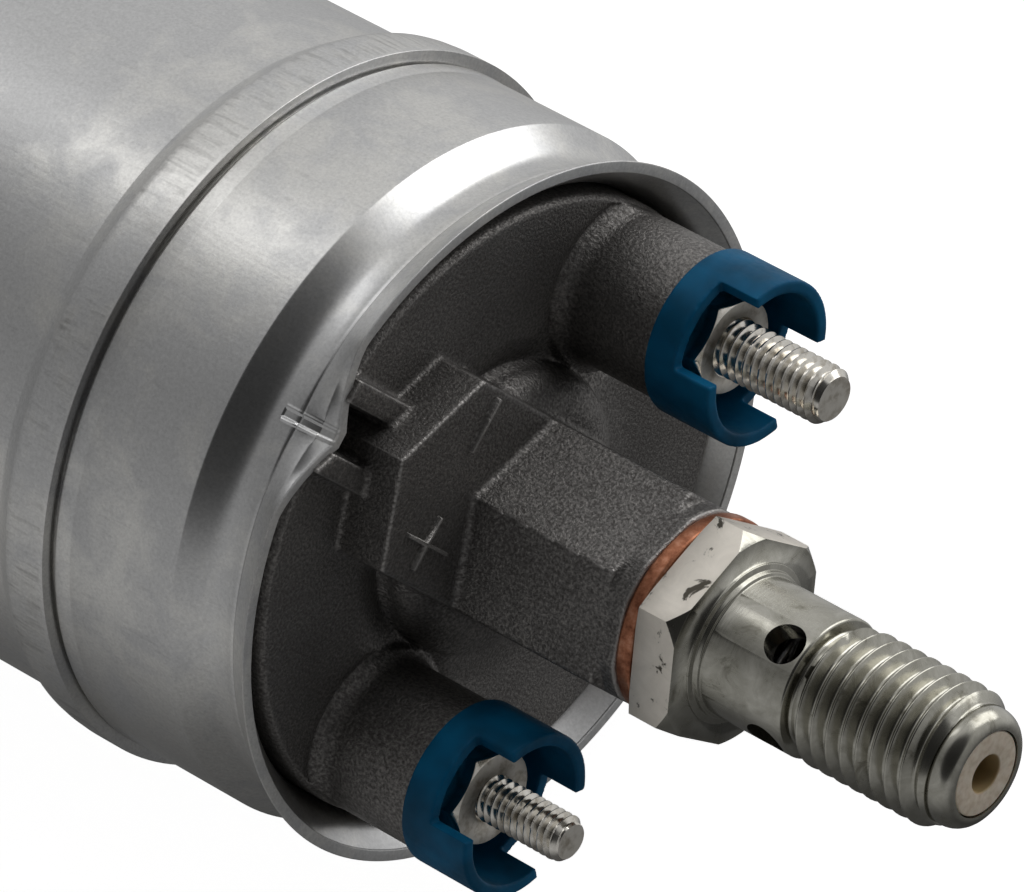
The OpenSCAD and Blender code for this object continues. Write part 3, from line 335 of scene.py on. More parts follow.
# each ridge of the polarity marks: its middle (y, z) and its size along y and z
# the marks' values include the strength of the painted highlight on the ridges' tops
marks = {"top": 79.7, "height": 0.45, "draft": 0.16, "round": 0.06, "above": 0.1, "paintedEdgeLight": 1.8,
         "ridges": [((5.45, 14.75), (4.9, 0.46)), ((-4.85, 14.15), (4.8, 0.44)), ((-4.92, 14.05), (0.44, 6.0))]}


def makeRidge(middle, size):
    bm = bmesh.new()
    bmesh.ops.create_cube(bm, size=1)
    bmesh.ops.scale(bm, vec=(2 * marks["height"], size[0], size[1]), verts=bm.verts)
    for v in bm.verts:
        if v.co.x > 0:
            v.co.y *= 1 - marks["draft"] / size[0]
            v.co.z *= 1 - marks["draft"] / size[1]
    roundEdges(bm, marks["round"], 2)
    bmesh.ops.translate(bm, verts=bm.verts, vec=(marks["top"], middle[0], middle[1]))
    return toObject(mended(bm), "ridge")


def castFace(co):
    # the face is cast with a shallow moat round the hub and bosses and a pocket between the two lugs
    up, r = co.x - cover["faceX"], hypot(co.y, co.z)
    if not -cover["faceBelow"] < up < cover["footOver"] or r > cover["faceR"]:
        return
    fade = smoothStep(cover["moatFadeFrom"], cover["moatFadeTo"], abs(degrees(atan2(co.y, co.z))))
    near = 1 - smoothStep(cover["hubR"], cover["moatR"], r)
    gap = hypot(abs(co.y) - cover["bossAt"], co.z) - cover["bossR"]
    atBoss = 1 - smoothStep(0, cover["bossMoat"], gap)
    co.x += near * fade * (1 - atBoss) * cover["footRise"] * (1 - max(0, up) / cover["footOver"])
    deep = max(near * cover["moatDeep"] * (1 - fade), atBoss * cover["bossMoatDeep"])
    if co.z > cover["pocketFrom"] and abs(co.y) < cover["pocketHalf"]:
        deep = max(deep, cover["pocketDeep"])
    if up < cover["faceSkin"]:
        co.x -= deep


def turnTower(co):
    # the plinth's top is levelled for the marks, and the tower's end is turned down
    if co.z > cover["plinthFrom"] and co.x < cover["plinthTop"] + cover["plinthOver"]:
        co.x = min(co.x, cover["plinthTop"])
    r = hypot(co.y, co.z)
    if co.x > cover["towerFrom"] and r > cover["towerR"]:
        co.y *= cover["towerR"] / r
        co.z *= cover["towerR"] / r


def reachLug(co):
    # both lugs run on under the flared lip, the upper one further
    if co.x > cover["faceX"] + cover["lugOver"]:
        for low, high, start, reach in cover["lugs"]:
            if low < co.y < high and co.z > start:
                co.z += reach * smoothStep(start, start + cover["lugBlend"], co.z)


def markEdges(piece):
    # how sharply the surface bends outwards at each vertex, per mm, for the cast finish's painted highlight along
    # its edges
    bm = bmesh.new()
    bm.from_mesh(piece.data)
    paintedEdgeLight = bm.verts.layers.float.new("paintedEdgeLight")
    for v in bm.verts:
        area = sum(f.calc_area() for f in v.link_faces) / 3
        bend = sum(e.calc_face_angle_signed(0) * e.calc_length() for e in v.link_edges) / 4
        v[paintedEdgeLight] = bend / area if area > 0 else 0
    bm.to_mesh(piece.data)
    bm.free()


def paintRidgesPale(piece):
    # the marks stand proud, so their tops are painted pale all over as a painted highlight
    paintedEdgeLight = piece.data.attributes["paintedEdgeLight"]
    for v in piece.data.vertices:
        if v.co.x > marks["top"] + marks["above"] and any(
                abs(v.co.y - y) < width / 2 and abs(v.co.z - z) < height / 2
                for (y, z), (width, height) in marks["ridges"]):
            paintedEdgeLight.data[v.index].value = marks["paintedEdgeLight"]


def makeCover():
    skirt = cutAt(nodeCopy("outlet_cover", "skirt"), cover["splitX"] + cover["lap"], 1)
    piece = cutAt(nodeCopy("outlet_cover", "outlet_cover_casting"), cover["splitX"], -1)
    soften(piece, cover["voxel"], cover["smoothing"], cover["keep"])
    for shape in (castFace, turnTower, reachLug):
        for v in piece.data.vertices:
            shape(v.co)
    markEdges(piece)
    combine(piece, [makeRidge(middle, size) for middle, size in marks["ridges"]], "UNION")
    paintRidgesPale(piece)
    return join(piece, [skirt])


# a thread's rounded V as (share of the pitch, share of the depth), its depth to a pitch, and the small clearance and
# shift that keep its root off the shank and every vertex off the planes that trim the ends
thread = {"depth": 0.6134, "clear": 0.02, "shift": 0.0037,
          "form": [(0, 0), (0.08, 0.02), (0.14, 0.12), (0.43, 0.93), (0.46, 1), (0.5, 1.01), (0.54, 1),
                   (0.57, 0.93), (0.86, 0.12), (0.92, 0.02), (1, 0)]}


def makeThread(spec, steps=60):
    # one pitch of the thread's form, spun with a pitch of advance to each turn, then trimmed square at both ends
    pitch, start, end = spec["pitch"], spec["from"], spec["to"]
    depth = thread["depth"] * pitch
    root = spec["major"] - depth
    bm = bmesh.new()
    chain = [bm.verts.new((start + pitch * (x - 2) - thread["shift"], 0, root + depth * r))
             for x, r in thread["form"]]
    edges = [bm.edges.new(pair) for pair in zip(chain, chain[1:])]
    bmesh.ops.spin(bm, geom=chain + edges, cent=(0, 0, 0), axis=(1, 0, 0), dvec=(pitch / steps, 0, 0),
                   angle=2 * pi, steps=steps)
    oneTurn = list(bm.verts) + list(bm.edges) + list(bm.faces)
    for turn in range(1, ceil((end - start) / pitch) + 3):
        more = bmesh.ops.duplicate(bm, geom=oneTurn)["geom"]
        bmesh.ops.translate(bm, verts=[g for g in more if isinstance(g, bmesh.types.BMVert)],
                            vec=(pitch * turn, 0, 0))
    bmesh.ops.remove_doubles(bm, verts=bm.verts, dist=sameSpot)
    for v in bm.verts:
        r = hypot(v.co.y, v.co.z)
        limit = min(spec["major"], root + thread["clear"] + spec["leadIn"] * max(0, v.co.x - start),
                    spec["tipR"] + spec["leadOut"] * max(0, end - v.co.x))
        if r > limit:
            v.co.y *= limit / r
            v.co.z *= limit / r
    for x, way in ((start, -1), (end, 1)):
        bmesh.ops.bisect_plane(bm, geom=list(bm.verts) + list(bm.edges) + list(bm.faces), dist=onPlane,
                               plane_co=(x, 0, 0), plane_no=(way, 0, 0), clear_outer=True)
    bmesh.ops.holes_fill(bm, edges=[e for e in bm.edges if e.is_boundary], sides=0)
    return toObject(mended(bm), "thread")


def makeHexagon(spec):
    # a hexagonal bar turned down at its corners: rear and front are the lengths of its chamfers at a corner
    start, end, flat = spec["from"], spec["to"], spec["acrossFlats"] / 2
    corner = spec["acrossFlats"] / sqrt(3)
    bm = bmesh.new()
    bmesh.ops.create_cone(bm, cap_ends=True, segments=6, radius1=corner, radius2=corner, depth=end - start)
    # create_cone stands along z with a corner on +Y, which stays there when it is laid along x
    bmesh.ops.rotate(bm, verts=bm.verts, cent=(0, 0, 0), matrix=Matrix.Rotation(radians(90), 3, "Y"))
    bmesh.ops.rotate(bm, verts=bm.verts, cent=(0, 0, 0), matrix=Matrix.Rotation(radians(spec["turn"] + 30), 3, "X"))
    bmesh.ops.translate(bm, verts=bm.verts, vec=((start + end) / 2, 0, 0))
    bar = toObject(bm, "hexagon")
    face, far = flat - spec["faceIn"], corner + 1
    turned = lathe([(start, 0), (start, face), (start + spec["rear"], far), (end - spec["front"], far), (end, face),
                    (end, 0)], steps=144)
    return combine(bar, [toObject(turned, "turned")], "INTERSECT")


def ease(piece, width, segments=2, sharperThan=20):
    step = piece.modifiers.new("ease", "BEVEL")
    step.width = width
    step.segments = segments
    step.limit_method = "ANGLE"
    step.angle_limit = radians(sharperThan)
    step.profile = 0.5
    step.use_clamp_overlap = True
    shade = piece.modifiers.new("shade", "WEIGHTED_NORMAL")
    shade.keep_sharp = True
    return applyModifiers(piece)


fitting = {
    "acrossFlats": 17, "from": 97.0, "to": 101, "turn": 8, "rear": 0.3, "front": 2.4, "faceIn": -0.5, "eased": 0.14,
    # the turned body as (x, r): washer face, ring before the hexagon, shank, shoulder at the thread and its core
    "body": [(82.4, 0), (82.4, 6), (96.9, 6), (96.9, 8.35), (97.5, 8.35), (97.5, 6), (100.5, 6), (100.5, 6.9),
             (101.35, 6.9), (101.4, 6.35), (101.8, 6.3), (101.85, 6), (109.9, 6), (110.05, 5.88), (110.12, 5.0),
             (110.3, 4.9), (113, 4.85), (113, 0)],
    "edge": 0.07,
    # the smooth tip, and its rounded nose: where it starts, its inner radius, its length and how far it drops
    "tip": [(123, 0), (123, 4.8), (124.05, 4.85), (124.15, 5.05), (124.5, 5.1)], "nose": (124.5, 3.95, 1.5, 1.15),
    "boreFrom": 82, "boreTo": 127, "boreR": 3.72,
    # the two cross holes: their place, radius, half length and turns in degrees
    "crossAt": 107.95, "crossR": 1.75, "crossHalf": 12, "crossTurns": (75, 165),
}
fittingThread = {"major": 5.98, "pitch": 1.5, "from": 110.8, "to": 124.1, "leadIn": 1.4, "leadOut": 0.7,
                 "tipR": 5.15}
insert = {"from": 110.9, "to": 125.94, "inR": 1.6, "outR": 3.62, "round": 0.16, "segments": 3, "steps": 96}
washer = {"from": 95.4, "to": 96.9, "inR": 6.1, "outR": 8.72, "round": 0.3, "segments": 4, "steps": 128}


def rod(x0, x1, r, steps):
    return toObject(lathe([(x0, 0), (x0, r), (x1, r), (x1, 0)], steps=steps), "rod")


def makeFitting():
    body = toObject(roundEdges(lathe(fitting["body"]), fitting["edge"], 2), "outlet_fitting_turned")
    start, inR, length, drop = fitting["nose"]
    nose = [(start + length * sin(radians(90 * u)), inR + drop * cos(radians(90 * u))) for u in arcSteps(8)]
    tip = lathe(fitting["tip"] + nose + [(start + length, inR), (start + length, 0)])
    hexagon = ease(makeHexagon(fitting), fitting["eased"])
    combine(body, [hexagon, makeThread(fittingThread), toObject(tip, "tip")], "UNION")
    bores = [rod(fitting["boreFrom"], fitting["boreTo"], fitting["boreR"], steps=96)]
    for turn in fitting["crossTurns"]:
        hole = rod(-fitting["crossHalf"], fitting["crossHalf"], fitting["crossR"], steps=48)
        hole.data.transform(Matrix.Translation((fitting["crossAt"], 0, 0))
                            @ Matrix.Rotation(radians(turn), 4, "X") @ Matrix.Rotation(radians(90), 4, "Z"))
        bores.append(hole)
    return combine(body, bores, "DIFFERENCE")


def makeRing(spec, name):
    bm = lathe([(spec["from"], spec["inR"]), (spec["from"], spec["outR"]), (spec["to"], spec["outR"]),
                (spec["to"], spec["inR"])], closed=True, steps=spec["steps"])
    return toObject(roundEdges(bm, spec["round"], spec["segments"]), name)


terminals = {"offset": 20.2, "headFrom": 61.8, "headTo": 64.3, "headR": 4, "headRound": 0.15, "shankTo": 86,
             # the plain shank is thinner than the thread by this much and this share of a pitch
             "shankIn": 0.12, "shankShare": 0.62}
studs = {
    "negative": {"side": -1, "major": 2.5, "pitch": 0.8, "from": 84.4, "to": 97.9, "leadIn": 9, "leadOut": 0.9,
                 "tipR": 1.9},
    "positive": {"side": 1, "major": 2.0, "pitch": 0.7, "from": 84.4, "to": 95.8, "leadIn": 9, "leadOut": 0.9,
                 "tipR": 1.5},
}
nut = {"acrossFlats": 8, "from": 85.0, "to": 87.5, "turn": 34, "rear": 0.5, "front": 0.95, "faceIn": 0,
       # its bore is this much smaller than the thread, with a lead that opens by leadOut over the last leadDeep
       "eased": 0.06, "boreIn": 0.35, "leadDeep": 0.45, "leadOut": 0.65, "over": 0.2}
collar = {"voxel": 0.16, "smoothing": 2}


def toTerminal(piece, pole):
    # side 1 is the positive terminal, at -Y, and side -1 the negative one
    piece.data.transform(Matrix.Translation((0, -studs[pole]["side"] * terminals["offset"], 0)))
    return piece


def makeStud(pole):
    spec, t = studs[pole], terminals
    shank = spec["major"] - t["shankShare"] * spec["pitch"] - t["shankIn"]
    body = lathe([(t["headFrom"], 0), (t["headFrom"], t["headR"]), (t["headTo"], t["headR"]), (t["headTo"], shank),
                  (t["shankTo"], shank), (t["shankTo"], 0)], steps=64)
    body = toObject(roundEdges(body, t["headRound"], 2), pole + "_terminal_stud")
    return toTerminal(combine(body, [makeThread(spec, steps=48)], "UNION", "MANIFOLD"), pole)


def makeNut(pole):
    bore = studs[pole]["major"] - nut["boreIn"]
    start, lead, end = nut["from"] - 1, nut["to"] - nut["leadDeep"], nut["to"] + nut["over"]
    piece = ease(makeHexagon(nut), nut["eased"])
    bored = lathe([(start, 0), (start, bore), (lead, bore), (end, bore + nut["leadOut"]), (end, 0)], steps=96)
    combine(piece, [toObject(bored, "bore")], "DIFFERENCE")
    piece.name = pole + "_terminal_nut"
    return toTerminal(piece, pole)


# each spring: the joint that presses it, the way it lies, where its still end is and how far it is pressed
springs = {
    "check_valve_spring": ("check_valve_slide", (1, 0, 0), 110.9, 2.02),
    "relief_spring": ("relief_valve_slide", (1, 0, 0), -53.4, 1.52),
    "upper_brush_spring": ("upper_brush_slide", (0, 0, 1), 23.5, 1.02),
    "lower_brush_spring": ("lower_brush_slide", (0, 0, 1), -23.5, 1.02),
}


def dressSpring(node):
    # the CAD node's own coils
    piece = nodeCopy(node, node.replace("spring", "coil_spring"))
    finish(piece, "housing", [node], "spring_steel", 50)
    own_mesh(piece)


def tint(code):
    # sRGB hex to the linear colour that the shaders take
    def linear(part):
        value = int(part, 16) / 255
        return value / 12.92 if value <= 0.04045 else ((value + 0.055) / 1.055) ** 2.4
    return (linear(code[0:2]), linear(code[2:4]), linear(code[4:6]), 1)


def perMm(size):
    # a pattern's scale on Object coordinates, which are metres, for features of this many millimetres
    return 1 / (size * mm)


def addNode(tree, kind, inputs=None, stops=None, **settings):
    node = tree.nodes.new("ShaderNode" + kind)
    for name, value in settings.items():
        setattr(node, name, value)
    for name, value in (inputs or {}).items():
        if isinstance(value, bpy.types.NodeSocket):
            tree.links.new(value, node.inputs[name])
        else:
            node.inputs[name].default_value = value
    if stops:
        ramp = node.color_ramp.elements
        ramp[0].position, ramp[0].color = stops[0]
        ramp[1].position, ramp[1].color = stops[-1]
        for position, colour in stops[1:-1]:
            ramp.new(position).color = colour
    return node


def newMaterial(name, sockets):
    # a material with a principled shader whose even values are set on its own sockets
    material = bpy.data.materials.new(name)
    material.use_nodes = True
    tree = material.node_tree
    shader = tree.nodes["Principled BSDF"]
    for socket, value in sockets.items():
        shader.inputs[socket].default_value = value
    place = addNode(tree, "TexCoord").outputs["Object"]
    return material, tree, shader, place


def fromNoise(noise, low, high):
    # a noise pattern's usual reach, spread between two values
    return {"Value": noise, "From Min": 0.3, "From Max": 0.7, "To Min": low, "To Max": high}


def connect(tree, shader, colour, roughness, normal):
    for socket, value in (("Base Color", colour), ("Roughness", roughness), ("Normal", normal)):
        tree.links.new(value, shader.inputs[socket])


def between(distance, span, low=0.0, high=1.0):
    # from low to high over a span in millimetres
    return {"Value": distance, "From Min": span[0] * mm, "From Max": span[1] * mm, "To Min": low, "To Max": high}


# where a finish changes, from and to: along x, and from the axis at the insert's bore
zones = {"crestStart": (50.7, 51.1), "crestEnd": (54.6, 54.9), "satinEnd": (68.0, 68.25), "flare": (71.5, 74),
         "rim": (75.75, 75.9), "towerEnd": (95.1, 95.25), "insertBore": (1.62, 1.76)}


def drawnAluminium():
    # deep-drawn aluminium, as it left the press: satin with soft-edged pale patches, a fine grain and faint draw
    # streaks, scuffed on the bead's crest, burnished where the tool rolled the taper and the flare, matt at the rim
    material, tree, shader, place = newMaterial("drawn_aluminium", {"Metallic": 1.0})
    patches = addNode(tree, "TexNoise", {"Vector": place, "Scale": perMm(5), "Detail": 8.0, "Roughness": 0.62,
                                         "Distortion": 0.5})
    wide = addNode(tree, "TexNoise", {"Vector": place, "Scale": perMm(26), "Detail": 2.0})
    grain = addNode(tree, "TexNoise", {"Vector": place, "Scale": perMm(0.28), "Detail": 4.0, "Roughness": 0.7})
    drawn = addNode(tree, "Mapping", {"Vector": place, "Scale": (0.12, 1, 1)})
    streaks = addNode(tree, "TexNoise", {"Vector": drawn.outputs[0], "Scale": perMm(0.45), "Detail": 4.0})
    along = addNode(tree, "SeparateXYZ", {0: place}).outputs[0]
    satin = addNode(tree, "MapRange", between(along, zones["satinEnd"], 1.0, 0.0))
    flared = addNode(tree, "MapRange", between(along, zones["flare"], 0.1, 0.45))
    worn = addNode(tree, "Math", {0: satin.outputs[0], 1: flared.outputs[0]}, operation="MAXIMUM")
    cloudy = addNode(tree, "Math", {0: patches.outputs[0], 1: wide.outputs[0]}, operation="ADD")
    film = addNode(tree, "MapRange", {"Value": cloudy.outputs[0], "From Min": 0.9, "From Max": 1.12})
    pale = addNode(tree, "ValToRGB", {"Fac": film.outputs[0]}, [(0.0, tint("C9C9C9")), (1.0, tint("D9D8D5"))])
    line = addNode(tree, "MapRange", {"Value": streaks.outputs[0], "From Min": 0.3, "From Max": 0.4,
                                      "To Min": 0.93, "To Max": 1.0})
    speck = addNode(tree, "MapRange", fromNoise(grain.outputs[0], 0.86, 1.1))
    behind = addNode(tree, "MapRange", between(along, zones["crestStart"]))
    ahead = addNode(tree, "MapRange", between(along, zones["crestEnd"], 1.0, 0.0))
    crest = addNode(tree, "Math", {0: behind.outputs[0], 1: ahead.outputs[0]}, operation="MULTIPLY")
    scuffAndPaintedEdge = addNode(tree, "Math", {0: streaks.outputs[0], 1: patches.outputs[0]}, operation="MULTIPLY")
    scuff = addNode(tree, "MapRange", {"Value": scuffAndPaintedEdge.outputs[0], "From Min": 0.24, "From Max": 0.42})
    scuff = addNode(tree, "Math", {0: scuff.outputs[0], 1: crest.outputs[0]}, operation="MULTIPLY")
    dull = addNode(tree, "Math", {0: scuff.outputs[0], 1: -0.35, 2: 1.0}, operation="MULTIPLY_ADD")
    shade = addNode(tree, "Math", {0: line.outputs[0], 1: speck.outputs[0]}, operation="MULTIPLY")
    shade = addNode(tree, "Math", {0: shade.outputs[0], 1: dull.outputs[0]}, operation="MULTIPLY")
    colour = addNode(tree, "VectorMath", {0: pale.outputs[0], "Scale": shade.outputs[0]}, operation="SCALE")
    patchy = addNode(tree, "MapRange", {"Value": film.outputs[0], "To Min": 0.4, "To Max": 0.32})
    burnished = addNode(tree, "Mix", {0: worn.outputs[0], 2: 0.3, 3: patchy.outputs[0]})
    trimmed = addNode(tree, "MapRange", between(along, zones["rim"]))
    rough = addNode(tree, "Mix", {0: trimmed.outputs[0], 2: burnished.outputs[0], 3: 0.6})
    height = addNode(tree, "Math", {0: grain.outputs[0], 1: streaks.outputs[0]}, operation="ADD")
    height = addNode(tree, "Math", {0: height.outputs[0], 1: worn.outputs[0]}, operation="MULTIPLY")
    bump = addNode(tree, "Bump", {"Height": height.outputs[0], "Strength": 0.5, "Distance": 0.02 * mm})
    connect(tree, shader, colour.outputs[0], rough.outputs[0], bump.outputs[0])
    return material


def dieCast():
    # die-cast aluminium with a dark finish: charcoal with a sandy grain that glints, with a painted highlight along
    # its convex edges and on the marks' ridges, and bare where the tower's end was faced for the washer
    material, tree, shader, place = newMaterial("die_cast_aluminium_dark", {"Metallic": 0.85})
    grain = addNode(tree, "TexNoise", {"Vector": place, "Scale": perMm(0.27), "Detail": 2.0, "Roughness": 0.6})
    clouds = addNode(tree, "TexNoise", {"Vector": place, "Scale": perMm(9), "Detail": 3.0})
    mixed = addNode(tree, "Math", {0: clouds.outputs[0], 1: 0.35, 2: grain.outputs[0]}, operation="MULTIPLY_ADD")
    sandy = addNode(tree, "ValToRGB", {"Fac": mixed.outputs[0]},
                    [(0.5, tint("5C5957")), (0.67, tint("6F6D6B")), (0.86, tint("8A8784"))])
    edges = addNode(tree, "Attribute", attribute_name="paintedEdgeLight").outputs["Fac"]
    # painted highlight: paler where the surface bends outwards, and on the marks' ridges
    scuffAndPaintedEdge = addNode(tree, "MapRange", {"Value": edges, "From Min": 0.8, "From Max": 2.2, "To Max": 0.6})
    along = addNode(tree, "SeparateXYZ", {0: place}).outputs[0]
    faced = addNode(tree, "MapRange", between(along, zones["towerEnd"], 0.0, 0.65))
    paintedEdgeAndFaced = addNode(tree, "Math", {0: scuffAndPaintedEdge.outputs[0], 1: faced.outputs[0]}, operation="MAXIMUM")
    colour = addNode(tree, "Mix", {0: paintedEdgeAndFaced.outputs[0], 6: sandy.outputs[0], 7: tint("BFBCB9")}, data_type="RGBA")
    rough = addNode(tree, "MapRange", fromNoise(grain.outputs[0], 0.6, 0.42))
    bump = addNode(tree, "Bump", {"Height": grain.outputs[0], "Strength": 1.0, "Distance": 0.09 * mm})
    connect(tree, shader, colour.outputs[2], rough.outputs[0], bump.outputs[0])
    return material


def zincSteel():
    # zinc-plated free-cutting steel: a slightly olive satin with turning rings, and matt and stained on the
    # hexagon's flats, which are the bar's own skin, with a painted highlight making the flats pale
    material, tree, shader, place = newMaterial("zinc_plated_steel", {"Metallic": 1.0})
    stains = addNode(tree, "TexNoise", {"Vector": place, "Scale": perMm(2.4), "Detail": 7.0, "Roughness": 0.65,
                                        "Distortion": 0.6})
    flat = addNode(tree, "Mapping", {"Vector": place, "Scale": (1, 0.1, 0.1)})
    rings = addNode(tree, "TexNoise", {"Vector": flat.outputs[0], "Scale": perMm(0.22), "Detail": 3.0})
    turned = addNode(tree, "ValToRGB", {"Fac": stains.outputs[0]},
                     [(0.3, tint("77746A")), (0.4, tint("9F9D93")), (0.7, tint("BDBBB2"))])
    # painted highlight: the flats' colours are far paler than the turned faces'
    skin = addNode(tree, "ValToRGB", {"Fac": stains.outputs[0]},
                   [(0.36, tint("5A564E")), (0.4, tint("E2DCD2")), (0.7, tint("F0EAE0"))])
    facing = addNode(tree, "SeparateXYZ", {0: addNode(tree, "NewGeometry").outputs["True Normal"]}).outputs[0]
    steep = addNode(tree, "Math", {0: facing}, operation="ABSOLUTE")
    sides = addNode(tree, "Math", {0: steep.outputs[0], 1: 0.2}, operation="LESS_THAN")
    along = addNode(tree, "SeparateXYZ", {0: place}).outputs[0]
    near = addNode(tree, "Math", {0: along, 1: fitting["to"] * mm}, operation="LESS_THAN")
    flats = addNode(tree, "Math", {0: sides.outputs[0], 1: near.outputs[0]}, operation="MULTIPLY")
    colour = addNode(tree, "Mix", {0: flats.outputs[0], 6: turned.outputs[0], 7: skin.outputs[0]}, data_type="RGBA")
    worn = addNode(tree, "MapRange", fromNoise(stains.outputs[0], 0.32, 0.14))
    rough = addNode(tree, "Mix", {0: flats.outputs[0], 2: worn.outputs[0], 3: 0.5})
    height = addNode(tree, "Math", {0: stains.outputs[0], 1: rings.outputs[0]}, operation="ADD")
    bump = addNode(tree, "Bump", {"Height": height.outputs[0], "Strength": 0.2, "Distance": 0.03 * mm})
    connect(tree, shader, colour.outputs[2], rough.outputs[0], bump.outputs[0])
    return material


def nickelSteel():
    # nickel-plated steel: bright and warm, a little dulled where it was handled, and matt where its end was cut
    material, tree, shader, place = newMaterial("nickel_plated_steel", {"Metallic": 1.0})
    haze = addNode(tree, "TexNoise", {"Vector": place, "Scale": perMm(1.1), "Detail": 5.0, "Roughness": 0.6})
    colour = addNode(tree, "ValToRGB", {"Fac": haze.outputs[0]},
                     [(0.3, tint("B0A99C")), (0.5, tint("DAD6CE")), (0.75, tint("E6E3DC"))])
    shine = addNode(tree, "MapRange", fromNoise(haze.outputs[0], 0.24, 0.12))
    facing = addNode(tree, "SeparateXYZ", {0: addNode(tree, "NewGeometry").outputs["True Normal"]}).outputs[0]
    cut = addNode(tree, "Math", {0: facing, 1: 0.95}, operation="GREATER_THAN")
    rough = addNode(tree, "Mix", {0: cut.outputs[0], 2: shine.outputs[0], 3: 0.55})
    bump = addNode(tree, "Bump", {"Height": haze.outputs[0], "Strength": 0.2, "Distance": 0.02 * mm})
    connect(tree, shader, colour.outputs[0], rough.outputs[0], bump.outputs[0])
    return material


def washerCopper():
    # annealed copper washer: dull orange-brown, tarnished in patches
    material, tree, shader, place = newMaterial("annealed_copper", {"Metallic": 1.0})
    tarnish = addNode(tree, "TexNoise", {"Vector": place, "Scale": perMm(1.3), "Detail": 6.0, "Roughness": 0.7})
    colour = addNode(tree, "ValToRGB", {"Fac": tarnish.outputs[0]},
                     [(0.3, tint("754736")), (0.5, tint("B0765A")), (0.72, tint("D09C82"))])
    rough = addNode(tree, "MapRange", fromNoise(tarnish.outputs[0], 0.55, 0.36))
    bump = addNode(tree, "Bump", {"Height": tarnish.outputs[0], "Strength": 0.4, "Distance": 0.05 * mm})
    connect(tree, shader, colour.outputs[0], rough.outputs[0], bump.outputs[0])
    return material


def bluePlastic():
    # moulded polyamide, dyed deep blue: satin, with light soaking a little way into its thin edges
    material, tree, shader, place = newMaterial("polyamide_blue", {
        "Metallic": 0.0, "IOR": 1.53, "Specular IOR Level": 0.12, "Subsurface Weight": 0.15,
        "Subsurface Scale": 0.5 * mm, "Subsurface Radius": (0.2, 0.5, 1.0)})
    grain = addNode(tree, "TexNoise", {"Vector": place, "Scale": perMm(0.5), "Detail": 3.0})
    clouds = addNode(tree, "TexNoise", {"Vector": place, "Scale": perMm(4), "Detail": 2.0})
    colour = addNode(tree, "ValToRGB", {"Fac": clouds.outputs[0]},
                     [(0.35, tint("004868")), (0.5, tint("015378")), (0.65, tint("025E86"))])
    rough = addNode(tree, "MapRange", fromNoise(grain.outputs[0], 0.42, 0.55))
    bump = addNode(tree, "Bump", {"Height": grain.outputs[0], "Strength": 0.15, "Distance": 0.03 * mm})
    connect(tree, shader, colour.outputs[0], rough.outputs[0], bump.outputs[0])
    return material


def creamPlastic():
    # moulded acetal in its natural cream: waxy and faintly see-through, with painted shade in its bore, which is a
    # darker brown
    material, tree, shader, place = newMaterial("acetal_cream", {
        "Metallic": 0.0, "IOR": 1.48, "Subsurface Weight": 0.1, "Subsurface Scale": 0.4 * mm})
    grain = addNode(tree, "TexNoise", {"Vector": place, "Scale": perMm(0.6), "Detail": 4.0})
    moulded = addNode(tree, "ValToRGB", {"Fac": grain.outputs[0]},
                      [(0.3, tint("C4B49F")), (0.5, tint("D3C6B4")), (0.7, tint("DCD1C1"))])
    across = addNode(tree, "VectorMath", {0: place, 1: (0, 1, 1)}, operation="MULTIPLY")
    radius = addNode(tree, "VectorMath", {0: across.outputs[0]}, operation="LENGTH")
    face = addNode(tree, "MapRange", between(radius.outputs["Value"], zones["insertBore"]))
    # painted shade: the bore, inside about 1.7 mm from the axis, is a darker brown
    colour = addNode(tree, "Mix", {0: face.outputs[0], 6: tint("A18B63"), 7: moulded.outputs[0]}, data_type="RGBA")
    rough = addNode(tree, "MapRange", fromNoise(grain.outputs[0], 0.45, 0.6))
    bump = addNode(tree, "Bump", {"Height": grain.outputs[0], "Strength": 0.15, "Distance": 0.03 * mm})
    connect(tree, shader, colour.outputs[2], rough.outputs[0], bump.outputs[0])
    return material


